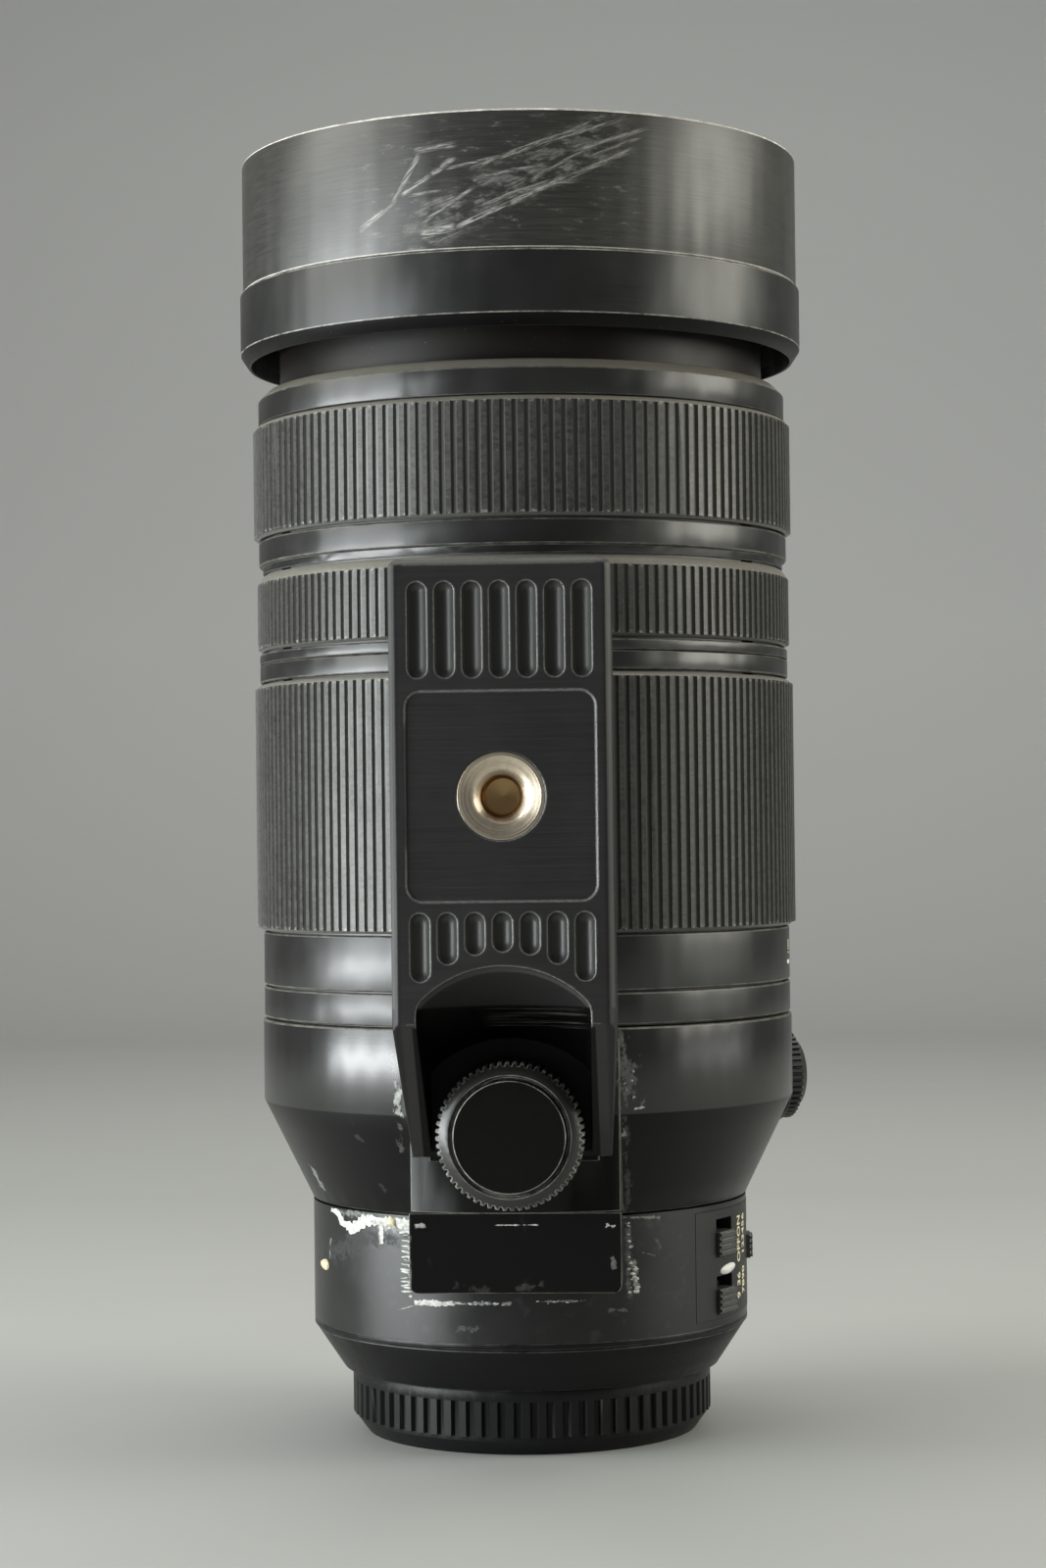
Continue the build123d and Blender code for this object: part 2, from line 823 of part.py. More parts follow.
# Bezel that closes the fixed tube at the front
bezel_bore = inner_barrel_radius + tube_gap
with BuildPart() as front_bezel:
    revolve(turned(
        (fixed_tube_radius, bezel_rear),
        (bezel_radius, bezel_rear),
        (bezel_radius, bezel_front - bezel_chamfer),
        (bezel_radius - bezel_chamfer, bezel_front),
        (bezel_bore, bezel_front),
        (bezel_bore, fixed_tube_front),
        (fixed_tube_radius, fixed_tube_front),
    ))
write(front_bezel, "front_bezel")

# Felt seal round the extending barrel
with BuildPart() as dust_seal:
    revolve(band(inner_barrel_radius + fit_gap, fixed_tube_bore,
                 fixed_tube_front - seal_height, fixed_tube_front))
write(dust_seal, "dust_seal")


def grip_ring(piece_radius, ribs, low, high, lip, front_radius):
    """Turning ring: ribbed grip between a plain rear edge and a chamfered lip at its front."""
    floor = piece_radius - rib_depth
    rim = high - lip
    with BuildPart() as ring:
        revolve(turned(
            (ring_bore, low),
            (floor - grip_edge / 2, low),
            (floor, low + edge_height),
            (floor, rim),
            (piece_radius, rim),
            (front_radius, high),
            (ring_bore, high),
        ))
        extrude(ribbed(Plane.XY.offset(low + edge_height), piece_radius, rib_depth, ribs),
                amount=rim - low - edge_height)
        with BuildSketch(Plane.XY.offset(low)):
            Circle(ring_bore)
        extrude(amount=high - low, mode=Mode.SUBTRACT)
    return ring


# Zoom ring, zoom lock ring and focus ring
zoom_ring = grip_ring(zoom_radius, zoom_ribs, zoom_rear, zoom_front, grip_edge, mid_radius)
write(zoom_ring, "zoom_ring")

lock_ring = grip_ring(lock_radius, lock_ribs, lock_rear, lock_front, lock_lip, lock_gap_radius)
write(lock_ring, "zoom_lock_ring")

focus_ring = grip_ring(focus_radius, focus_ribs, focus_rear, focus_front, grip_edge, focus_radius - grip_edge)
with focus_ring:
    revolve(band(0, ring_bore + magnet_wall, focus_rear + magnet_inset, focus_front - magnet_inset),
            mode=Mode.SUBTRACT)
write(focus_ring, "focus_ring")

with BuildPart() as focus_magnet_ring:
    revolve(band(ring_bore, ring_bore + magnet_wall,
                 focus_rear + magnet_inset + fit_gap, focus_front - magnet_inset - fit_gap))
write(focus_magnet_ring, "focus_magnet_ring")

# Key that turns the cam tube with the zoom ring
with BuildPart() as zoom_key:
    extrude(sector(cam_tube_radius, ring_bore, key_azimuth, key_span, key_low), amount=key_height)
write(zoom_key, "zoom_key")

# Cam tube with helical slots for the front barrel and for the variator
with BuildPart() as cam_tube:
    revolve(band(cam_tube_bore, cam_tube_radius, cam_rear, cam_front))
    for azimuth in follower_turns:
        add(helical_cutter(slot_width, azimuth, follower_height, zoom_travel), mode=Mode.SUBTRACT)
        for turn, rise in ((0, 0), (-zoom_turn, zoom_travel)):
            with BuildSketch(at_azimuth(azimuth + turn, cam_tube_bore - overrun, follower_height + rise)):
                Circle(slot_width / 2)
            extrude(amount=cam_tube_wall + overrun * 2, mode=Mode.SUBTRACT)
    for azimuth in variator_turns:
        add(helical_cutter(slot_width, azimuth, variator_pin_height, variator_travel), mode=Mode.SUBTRACT)
        for turn, rise in ((0, 0), (-zoom_turn, variator_travel)):
            with BuildSketch(at_azimuth(azimuth + turn, cam_tube_bore - overrun,
                                        variator_pin_height + rise)):
                Circle(slot_width / 2)
            extrude(amount=cam_tube_wall + overrun * 2, mode=Mode.SUBTRACT)
write(cam_tube, "cam_tube")

# Extending barrel and its three cam followers
with BuildPart() as inner_barrel:
    revolve(band(inner_barrel_bore, inner_barrel_radius, barrel_rear, barrel_front_height))
    for azimuth in follower_turns:
        with BuildSketch(at_azimuth(azimuth, inner_barrel_bore - overrun, follower_height)):
            Circle(follower_radius)
        extrude(amount=inner_barrel_wall + overrun * 2, mode=Mode.SUBTRACT)
write(inner_barrel, "inner_barrel")

follower_inner = cam_tube_bore + fit_gap
follower_outer = fixed_tube_radius - slot_gap
with BuildPart() as cam_followers:
    for azimuth in follower_turns:
        with BuildSketch(at_azimuth(azimuth, follower_inner, follower_height)):
            Circle(follower_radius)
        extrude(amount=follower_outer - follower_inner)
write(cam_followers, "cam_followers")

# Front cell with the filter thread, and the lenses it holds
cell_outer = inner_barrel_bore - fit_gap
front_cell_radius = inner_barrel_radius + front_flange_rise
front_lens_radius = cell_outer - front_lens_wall
second_lens_radius = cell_outer - second_lens_wall
with BuildPart() as front_cell:
    revolve(turned(
        (cell_outer - front_cell_wall, cell_rear),
        (cell_outer, cell_rear),
        (cell_outer, barrel_front_height),
        (front_cell_radius, barrel_front_height),
        (front_cell_radius, front_cell_front - seam),
        (front_cell_radius - seam, front_cell_front),
        (filter_bore, front_cell_front),
        (filter_bore, front_cell_front - filter_depth),
        (front_lens_radius + fit_gap, front_cell_front - filter_depth),
        (front_lens_radius + fit_gap, front_lens_rear),
        (front_lens_radius - lens_seat, front_lens_rear),
        (front_lens_radius - lens_seat, second_lens_rear + second_lens_edge),
        (second_lens_radius + fit_gap, second_lens_rear + second_lens_edge),
        (second_lens_radius + fit_gap, second_lens_rear),
        (second_lens_radius - lens_seat, second_lens_rear),
        (second_lens_radius - lens_seat, cell_rear),
    ))
write(front_cell, "front_cell")

with BuildPart() as front_element:
    revolve(lens_outline(front_lens_radius, front_lens_rear, front_lens_edge,
                         -front_lens_hollow, front_lens_bulge))
write(front_element, "front_element")

with BuildPart() as second_element:
    revolve(lens_outline(second_lens_radius, second_lens_rear, second_lens_edge,
                         second_lens_bulge, second_lens_bulge))
write(second_element, "second_element")

# Ring that holds the front element in
retainer_rear = front_lens_rear + front_lens_edge
with BuildPart() as front_retainer:
    revolve(turned(
        (front_lens_radius - lens_seat, retainer_rear),
        (front_lens_radius, retainer_rear),
        (front_lens_radius, retainer_rear + retainer_height),
        (front_lens_radius - lens_seat / 2, retainer_rear + retainer_height),
    ))
write(front_retainer, "front_retainer")

# Guide ring and felt that the hood slides on
hood_bore = hood_rear_radius - hood_bevel_width - seam * 2
felt_radius = hood_bore - tube_gap
guide_ring_radius = felt_radius - felt_thickness
with BuildPart() as hood_guide:
    revolve(turned(
        (inner_barrel_radius, guide_ring_rear),
        (guide_ring_radius, guide_ring_rear),
        (guide_ring_radius, guide_ring_rear + felt_height),
        (inner_barrel_radius, guide_ring_rear + felt_height),
    ))
write(hood_guide, "hood_guide")

with BuildPart() as hood_felt:
    revolve(band(guide_ring_radius, felt_radius, guide_ring_rear, guide_ring_rear + felt_height))
write(hood_felt, "hood_felt")

# Hood in two bands, with a lip behind the guide ring
lip_front = guide_ring_rear - seam
hood_lip_bore = felt_radius - seam
with BuildPart() as hood_rear_band:
    revolve(turned(
        (hood_bore, hood_rear),
        (hood_rear_radius - hood_bevel_width, hood_rear),
        (hood_rear_radius, hood_rear + hood_bevel_height),
        (hood_rear_radius, hood_step - hood_step_edge),
        (hood_rear_radius - hood_step_edge, hood_step),
        (hood_bore, hood_step),
        (hood_bore, lip_front),
        (hood_lip_bore, lip_front),
        (hood_lip_bore, lip_front - hood_lip_height),
        (hood_bore, lip_front - hood_lip_height),
    ))
write(hood_rear_band, "hood_rear_band")

with BuildPart() as hood_front_band:
    revolve(turned(
        (hood_bore, hood_step),
        (hood_front_radius, hood_step),
        (hood_front_radius, hood_front - seam),
        (hood_front_radius - seam, hood_front),
        (hood_bore + seam, hood_front),
        (hood_bore, hood_front - seam),
    ))
write(hood_front_band, "hood_front_band")

# Collar that turns on the journal, with its tongue, block, foot pad and lock boss
collar_bore = collar_radius - collar_wall
cone_mouth = barrel_radius - cone_wall
tongue_radius = collar_radius + tongue_rise
tongue_low = collar_rear + tongue_offset
tongue_high = collar_front - tongue_margin
block_low = tongue_low - block_length
block_clear_radius = barrel_radius + block_clearance
pad_face = tongue_radius + pad_rise
foot_base_rear = collar_rear + foot_offset
foot_seat_front = collar_front - foot_seat_margin
foot_knob_height = foot_base_rear + foot_knob_offset
pad_low = foot_base_rear - pad_margin
collar_knob_middle = cone_front + collar_knob_offset
collar_boss_face = collar_radius + collar_boss_rise
front_view = at_azimuth(0, 0, 0)
with BuildPart() as collar:
    revolve(turned(
        (0, collar_rear),
        (barrel_radius, collar_rear),
        (collar_radius, cone_front),
        (collar_radius, collar_front - seam),
        (collar_radius - seam, collar_front),
        (0, collar_front),
    ))
    with BuildSketch(Plane.XY.offset(tongue_low)):
        Circle(tongue_radius)
        with Locations((0, -tongue_radius / 2)):
            Rectangle(tongue_width, tongue_radius, mode=Mode.INTERSECT)
    extrude(amount=tongue_high - tongue_low)
    with BuildSketch(front_view) as block:
        with Locations((0, (tongue_low + block_low) / 2)):
            Rectangle(block_width, tongue_low - block_low)
        fillet(block.vertices().group_by(Axis.Y)[0], block_corner)
    extrude(amount=block_face)
    with BuildSketch(front_view):
        with Locations((0, (foot_seat_front + pad_low) / 2)):
            Rectangle(pad_width, foot_seat_front - pad_low)
    extrude(amount=pad_face)
    with BuildSketch(at_azimuth(collar_knob_azimuth, 0, collar_knob_middle)):
        Circle(collar_boss_radius)
    extrude(amount=collar_boss_face)
    revolve(turned(
        (0, block_low - overrun),
        (block_clear_radius, block_low - overrun),
        (block_clear_radius, collar_rear),
        (cone_mouth, collar_rear),
        (collar_bore, cone_front),
        (collar_bore, collar_front),
        (0, collar_front),
    ), mode=Mode.SUBTRACT)
    with BuildSketch(at_azimuth(0, 0, foot_knob_height)):
        Circle(foot_screw_radius + slot_gap)
    extrude(amount=pad_face, mode=Mode.SUBTRACT)
    with BuildSketch(at_azimuth(collar_knob_azimuth, 0, collar_knob_middle)):
        Circle(collar_stud_radius + slot_gap)
    extrude(amount=collar_boss_face, mode=Mode.SUBTRACT)
write(collar, "collar")

# Liner that runs on the journal
with BuildPart() as collar_liner:
    revolve(band(liner_bore, collar_bore, frame_web_front + turning_gap, collar_front))
write(collar_liner, "collar_liner")

# Knob that locks the collar, with its stud
collar_grip_face = collar_boss_face + collar_knob_height - collar_knob_bevel
collar_stud_tip = collar_boss_face - collar_stud_reach
with BuildPart() as collar_lock_knob:
    grip_plane = at_azimuth(collar_knob_azimuth, collar_boss_face, collar_knob_middle)
    extrude(ribbed(grip_plane, collar_knob_radius, collar_knob_rib_depth, collar_knob_teeth),
            amount=collar_grip_face - collar_boss_face)
    with BuildSketch(at_azimuth(collar_knob_azimuth, collar_grip_face, collar_knob_middle)):
        Circle(collar_knob_radius - collar_knob_rib_depth)
    extrude(amount=collar_knob_bevel, taper=45)
    with BuildSketch(at_azimuth(collar_knob_azimuth, collar_stud_tip, collar_knob_middle)):
        Circle(collar_stud_radius)
    extrude(amount=collar_stud_reach)
write(collar_lock_knob, "collar_lock_knob")


def ball_cut(across, low, high):
    """Cutter for one groove in the foot's face: a rod with ball ends, as a ball mill leaves."""
    tail = low + groove_width / 2
    head = high - groove_width / 2
    with BuildPart() as cut:
        with BuildSketch(at_azimuth(0, groove_axis, 0)):
            with BuildLine():
                Line((across, tail - groove_radius), (across, head + groove_radius))
                CenterArc((across, head), groove_radius, 0, 90)
                Line((across + groove_radius, head), (across + groove_radius, tail))
                CenterArc((across, tail), groove_radius, 270, 90)
            make_face()
        revolve(axis=Axis((across, -groove_axis, 0), (0, 0, 1)))
    return cut.part


def arch(distance, half_width, top):
    """Outline of the thumb arch at one depth, with an arched top and rounded shoulders."""
    arc_radius = arch_tip_radius - arch_margin
    shoulder = top - arc_radius + sqrt(arc_radius**2 - half_width**2)
    low = foot_base_rear - overrun
    with BuildSketch(at_azimuth(0, distance, 0)) as outline:
        with BuildLine():
            Line((-half_width, low), (half_width, low))
            Line((half_width, low), (half_width, shoulder))
            ThreePointArc((half_width, shoulder), (0, top), (-half_width, shoulder))
            Line((-half_width, shoulder), (-half_width, low))
        make_face()
        fillet(outline.vertices().sort_by(Axis.Y)[2:], arch_shoulder)
    return outline.sketch


# Tripod foot: a long plate on a leg that straddles the clamp knob
foot_side = Plane(origin=(0, 0, 0), x_dir=(0, -1, 0), z_dir=(-1, 0, 0))
foot_face = pad_face + foot_standoff
foot_back = foot_face - foot_thickness
foot_rear = foot_base_rear + foot_cheek_length
foot_front = foot_rear + foot_length
foot_leg_low = foot_seat_front + foot_leg_step
foot_leg_high = foot_leg_low + foot_leg_length
pad_recess_low = foot_rear + pad_recess_offset
pad_recess_high = pad_recess_low + pad_recess_length
upper_groove_low = pad_recess_high + groove_margin
upper_groove_high = upper_groove_low + upper_groove_length
lower_groove_high = pad_recess_low - lower_groove_margin
lower_groove_tip = lower_groove_high - lower_groove_length
groove_radius = ((groove_width / 2)**2 + groove_depth**2) / (groove_depth * 2)
groove_axis = foot_face + groove_radius - groove_depth
arch_top = lower_groove_tip - arch_margin
arch_floor = pad_face + arch_floor_thickness
arch_floor_top = foot_knob_height + foot_knob_radius + arch_floor_margin
bush_height = (pad_recess_low + pad_recess_high) / 2
recess_face = foot_face - pad_recess_depth
foot_half = foot_width / 2
base_half = foot_base_width / 2
with BuildPart() as foot:
    with BuildSketch(foot_side) as side:
        with BuildLine():
            Polyline(
                (pad_face, foot_base_rear),
                (pad_face + foot_base_thickness, foot_base_rear),
                (foot_face, foot_rear),
                (foot_face, foot_front),
                (foot_back, foot_front),
                (foot_back, foot_leg_high),
                (pad_face + foot_leg_thickness, foot_leg_low),
                (pad_face, foot_seat_front),
                close=True,
            )
        make_face()
        inner_bend = side.vertices().filter_by_position(Axis.X, foot_back, foot_back)
        fillet(inner_bend.sort_by(Axis.Y)[0], foot_leg_round)
    extrude(amount=foot_half, both=True)
    with BuildSketch(front_view) as face_view:
        with BuildLine():
            Polyline(
                (-base_half, foot_base_rear),
                (base_half, foot_base_rear),
                (foot_half, foot_rear),
                (foot_half, foot_front),
                (-foot_half, foot_front),
                (-foot_half, foot_rear),
                close=True,
            )
        make_face()
        fillet(face_view.vertices().group_by(Axis.Y)[-1], foot_corner)
    extrude(amount=foot_face + overrun, mode=Mode.INTERSECT)
    plate_edges = foot.faces().sort_by(Axis.Y)[0].edges().sort_by(Axis.Z)
    chamfer(plate_edges[1:], foot_edge)
    with BuildSketch(at_azimuth(0, recess_face, bush_height)):
        RectangleRounded(pad_recess_width, pad_recess_length, pad_recess_corner)
    extrude(amount=pad_recess_depth, mode=Mode.SUBTRACT)
    for groove in range(groove_count):
        across = (groove - (groove_count - 1) / 2) * groove_pitch
        drop = arch_tip_radius - sqrt(arch_tip_radius**2 - across**2)
        for low, high in (
            (upper_groove_low, upper_groove_high),
            (lower_groove_tip - drop, lower_groove_high),
        ):
            add(ball_cut(across, low, high), mode=Mode.SUBTRACT)
    loft(sections=[
        arch(arch_floor, arch_floor_half_width, arch_floor_top),
        arch(foot_face, arch_half_width, arch_top),
    ], mode=Mode.SUBTRACT)
    with BuildSketch(at_azimuth(0, recess_face - bush_depth, bush_height)):
        Circle(bush_radius + fit_gap)
    extrude(amount=bush_depth, mode=Mode.SUBTRACT)
    with BuildSketch(at_azimuth(0, pad_face, foot_knob_height)):
        Circle(foot_screw_radius + foot_screw_play)
    extrude(amount=arch_floor - pad_face, mode=Mode.SUBTRACT)
write(foot, "foot")

# Threaded bush for a tripod screw
with BuildPart() as tripod_bush:
    with BuildSketch(foot_side):
        with BuildLine():
            mouth_face = recess_face - bush_dish
            Polyline(
                (recess_face - bush_depth, bush_height + bush_bore),
                (recess_face - bush_depth, bush_height + bush_radius),
                (recess_face, bush_height + bush_radius),
                (recess_face, bush_height + bush_radius - bush_dish),
                (mouth_face, bush_height + bush_mouth_radius),
                (mouth_face - bush_mouth_radius + bush_bore, bush_height + bush_bore),
                close=True,
            )
        make_face()
    revolve(axis=Axis((0, 0, bush_height), (0, -1, 0)))
write(tripod_bush, "tripod_bush")

# Knob that clamps the foot, and its screw
foot_knob_base = arch_floor + turning_gap
foot_knob_grip_face = foot_knob_base + foot_knob_grip_length
foot_knob_face = foot_knob_grip_face + foot_knob_disc_rise
with BuildPart() as foot_knob:
    with BuildSketch(foot_side):
        with BuildLine():
            ring_radius = foot_knob_disc_radius + foot_knob_ring
            floor_radius = foot_knob_radius - foot_knob_rib_depth
            Polyline(
                (foot_knob_base, foot_knob_height),
                (foot_knob_base, foot_knob_height + floor_radius),
                (foot_knob_grip_face, foot_knob_height + floor_radius),
                (foot_knob_grip_face + foot_knob_bevel, foot_knob_height + ring_radius),
                (foot_knob_grip_face, foot_knob_height + ring_radius),
                (foot_knob_grip_face, foot_knob_height + foot_knob_disc_radius),
                (foot_knob_face, foot_knob_height + foot_knob_disc_radius - foot_knob_ring),
                (foot_knob_face, foot_knob_height),
                close=True,
            )
        make_face()
    revolve(axis=Axis((0, 0, foot_knob_height), (0, -1, 0)))
    extrude(ribbed(at_azimuth(0, foot_knob_base, foot_knob_height),
                   foot_knob_radius, foot_knob_rib_depth, foot_knob_teeth),
            amount=foot_knob_grip_face - foot_knob_base)
    with BuildSketch(foot_side):
        with BuildLine():
            far_face = foot_knob_face + overrun
            far_radius = foot_knob_radius + overrun
            Polyline(
                (foot_knob_grip_face, foot_knob_height + floor_radius),
                (foot_knob_grip_face - foot_knob_rib_depth, foot_knob_height + foot_knob_radius),
                (foot_knob_grip_face - foot_knob_rib_depth, foot_knob_height + far_radius),
                (far_face, foot_knob_height + far_radius),
                (far_face, foot_knob_height + floor_radius),
                close=True,
            )
        make_face()
    revolve(axis=Axis((0, 0, foot_knob_height), (0, -1, 0)), mode=Mode.SUBTRACT)
write(foot_knob, "foot_knob")

with BuildPart() as foot_screw:
    with BuildSketch(at_azimuth(0, pad_face - foot_screw_reach, foot_knob_height)):
        Circle(foot_screw_radius)
    extrude(amount=foot_knob_base - pad_face + foot_screw_reach)
write(foot_screw, "foot_screw")

# Rear lens and its cell
cell_lens_radius = rear_cell_radius - rear_cell_wall
rear_cell_rear = flange_rear + rear_cell_offset
rear_cell_flange_rear = skirt_front + rear_cell_flange_offset
rear_cell_flange_front = rear_cell_flange_rear + rear_cell_flange
rear_cell_front = rear_cell_flange_front + rear_cell_end
rear_lens_rear = rear_cell_rear + rear_lens_offset
with BuildPart() as rear_lens_cell:
    revolve(turned(
        (cell_lens_radius - lens_seat, rear_cell_rear),
        (rear_cell_radius, rear_cell_rear),
        (rear_cell_radius, rear_cell_flange_rear),
        (barrel_bore, rear_cell_flange_rear),
        (barrel_bore, rear_cell_flange_front),
        (rear_cell_radius, rear_cell_flange_front),
        (rear_cell_radius, rear_cell_front),
        (cell_lens_radius, rear_cell_front),
        (cell_lens_radius, rear_lens_rear),
        (cell_lens_radius - lens_seat, rear_lens_rear),
    ))
write(rear_lens_cell, "rear_lens_cell")

with BuildPart() as rear_lens:
    revolve(lens_outline(cell_lens_radius - fit_gap, rear_lens_rear, rear_lens_edge,
                         rear_lens_bulge, rear_lens_bulge))
write(rear_lens, "rear_lens")

# Ring-shaped circuit board with its chips
board_rear = skirt_front + board_offset
with BuildPart() as circuit_board:
    revolve(band(board_bore, barrel_bore - fit_gap, board_rear, board_rear + board_thickness))
    with BuildSketch(Plane.XY.offset(board_rear - board_chip_height)):
        with PolarLocations(board_chip_circle, board_chips):
            Rectangle(board_chip_width, board_chip_width)
    extrude(amount=board_chip_height)
write(circuit_board, "circuit_board")

# Housing of the stabiliser and the iris
housing_outer = guide_tube_bore - fit_gap
housing_inner = housing_outer - housing_wall
with BuildPart() as iris_housing:
    revolve(turned(
        (housing_bore, housing_rear),
        (housing_outer, housing_rear),
        (housing_outer, housing_front),
        (housing_bore, housing_front),
        (housing_bore, iris_front),
        (housing_inner, iris_front),
        (housing_inner, iris_rear),
        (housing_bore, iris_rear),
        (housing_bore, iris_web_rear),
        (housing_inner, iris_web_rear),
        (housing_inner, housing_rear + housing_wall),
        (housing_bore, housing_rear + housing_wall),
    ))
    with BuildSketch(Plane.XY.offset(iris_front)):
        with PolarLocations(rod_circle, rod_count):
            Circle(rod_radius + fit_gap)
    extrude(amount=housing_wall, mode=Mode.SUBTRACT)
write(iris_housing, "iris_housing")

# Iris blades at full opening, in layers so that they pass one another
blade_step = iris_blade_thickness + fit_gap
blade_inner = housing_bore + tube_gap
with BuildPart() as iris_blades:
    for blade in range(iris_blade_count):
        layer = blade % iris_blade_layers
        extrude(sector(blade_inner, blade_inner + iris_blade_width, blade * 360 / iris_blade_count,
                       iris_blade_span, iris_rear + layer * blade_step),
                amount=iris_blade_thickness)
write(iris_blades, "iris_blades")

iris_ring_rear = iris_rear + blade_step * iris_blade_layers + slot_gap
with BuildPart() as iris_ring:
    revolve(band(blade_inner, blade_inner + iris_ring_width,
                 iris_ring_rear, iris_ring_rear + iris_ring_height))
write(iris_ring, "iris_ring")

# Stabiliser: a frame that slides across, and in it a cell that slides the other way
steady_rear = housing_rear + housing_wall + turning_gap
steady_cell_radius = steady_lens_radius + steady_cell_wall
steady_bore = steady_cell_radius + steady_travel + slot_gap
with BuildPart() as stabiliser_frame:
    revolve(band(steady_bore, steady_radius, steady_rear, steady_rear + steady_height))
write(stabiliser_frame, "stabiliser_frame")

with BuildPart() as stabiliser_cell:
    revolve(turned(
        (steady_lens_radius - lens_seat, steady_rear),
        (steady_cell_radius, steady_rear),
        (steady_cell_radius, steady_rear + steady_height),
        (steady_lens_radius, steady_rear + steady_height),
        (steady_lens_radius, steady_rear + lens_seat),
        (steady_lens_radius - lens_seat, steady_rear + lens_seat),
    ))
write(stabiliser_cell, "stabiliser_cell")

with BuildPart() as stabiliser_lens:
    revolve(lens_outline(steady_lens_radius - fit_gap, steady_rear + lens_seat, steady_lens_edge,
                         -steady_lens_bulge, steady_lens_bulge))
write(stabiliser_lens, "stabiliser_lens")

# Guide rods for the focus group
with BuildPart() as guide_rods:
    with BuildSketch(Plane.XY.offset(iris_front)):
        with PolarLocations(rod_circle, rod_count):
            Circle(rod_radius)
    extrude(amount=rod_front - iris_front)
write(guide_rods, "guide_rods")

# Focus group: a cell with two ears that run on the rods, and its lens
with BuildPart() as focus_cell:
    with BuildSketch(Plane.XY.offset(focus_cell_rear)):
        Circle(focus_lens_radius + focus_rim)
        Rectangle(rod_circle * 2, focus_ear_radius * 2)
        with PolarLocations(rod_circle, rod_count):
            Circle(focus_ear_radius)
        with PolarLocations(rod_circle, rod_count):
            Circle(rod_radius + fit_gap, mode=Mode.SUBTRACT)
        Circle(focus_lens_radius, mode=Mode.SUBTRACT)
    extrude(amount=focus_cell_height)
write(focus_cell, "focus_cell")

with BuildPart() as focus_lens:
    revolve(lens_outline(focus_lens_radius - fit_gap, focus_cell_rear + lens_seat,
                         focus_cell_height - focus_rim, -lens_seat, -lens_seat))
write(focus_lens, "focus_lens")

# Linear motor beside the focus group
with BuildPart() as focus_motor:
    extrude(sector(housing_outer - focus_motor_depth, housing_outer, focus_motor_azimuth,
                   focus_motor_span, housing_front),
            amount=rod_web_rear - housing_front - focus_margin)
write(focus_motor, "focus_motor")

# Variator: a cell that the cam tube drives by three pins
variator_lens_radius = cell_radius - variator_wall
with BuildPart() as variator_cell:
    revolve(turned(
        (variator_lens_radius, variator_rear),
        (cell_radius, variator_rear),
        (cell_radius, variator_rear + variator_height),
        (variator_lens_radius, variator_rear + variator_height),
    ))
    for azimuth in variator_turns:
        with BuildSketch(at_azimuth(azimuth, variator_lens_radius, variator_pin_height)):
            Circle(follower_radius)
        extrude(amount=cell_radius - variator_lens_radius + overrun, mode=Mode.SUBTRACT)
write(variator_cell, "variator_cell")

with BuildPart() as variator_pins:
    pin_root = variator_lens_radius + front_cell_wall
    for azimuth in variator_turns:
        with BuildSketch(at_azimuth(azimuth, pin_root, variator_pin_height)):
            Circle(follower_radius)
        extrude(amount=cam_tube_radius - slot_gap - pin_root)
write(variator_pins, "variator_pins")

with BuildPart() as variator_lens:
    revolve(lens_outline(variator_lens_radius - fit_gap, variator_rear + lens_seat,
                         variator_height - front_cell_wall, -lens_seat, -lens_seat))
write(variator_lens, "variator_lens")
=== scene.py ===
import math
import random

import bmesh
import bpy
from mathutils import Matrix, Vector


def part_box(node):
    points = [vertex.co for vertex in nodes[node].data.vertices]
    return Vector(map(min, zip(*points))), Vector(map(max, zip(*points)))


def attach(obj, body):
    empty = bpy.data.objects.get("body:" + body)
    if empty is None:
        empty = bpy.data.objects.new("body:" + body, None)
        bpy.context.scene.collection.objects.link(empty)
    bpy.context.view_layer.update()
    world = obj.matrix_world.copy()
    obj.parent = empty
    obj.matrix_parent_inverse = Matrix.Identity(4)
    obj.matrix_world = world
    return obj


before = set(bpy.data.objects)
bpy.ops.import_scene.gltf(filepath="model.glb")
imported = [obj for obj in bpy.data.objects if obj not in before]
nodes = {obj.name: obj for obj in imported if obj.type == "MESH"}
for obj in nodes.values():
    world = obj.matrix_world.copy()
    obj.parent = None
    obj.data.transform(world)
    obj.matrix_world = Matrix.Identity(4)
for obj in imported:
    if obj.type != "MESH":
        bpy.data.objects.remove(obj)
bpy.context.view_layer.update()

# Looks of a camera zoom lens that stands on its rear cap. The CAD nodes keep their shape:
# they get their materials here, and small marks, threads and residue are added on them.
# Lengths on the lens are in millimetres, those of the stage, lights and camera in metres.
# Azimuths are degrees from the tripod foot's side (-Y) towards +X.

MM = 0.001


# ---- places read from the frame ----

def span(node):
    """Lowest and highest point of a CAD node along the optical axis."""
    low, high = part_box(node)
    return low.z / MM, high.z / MM


def reach(node):
    """Largest radius of a round CAD node about the optical axis."""
    low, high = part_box(node)
    return (high.x - low.x) / 2 / MM


HOOD_STEP, HOOD_FRONT = span("hood_front_band")
HOOD_REAR = span("hood_rear_band")[0]
HOOD_RADIUS = reach("hood_front_band")
HOOD_BEVEL = 1.8
BEZEL_FRONT = span("front_bezel")[1]
BARREL_RADIUS = reach("rear_barrel")
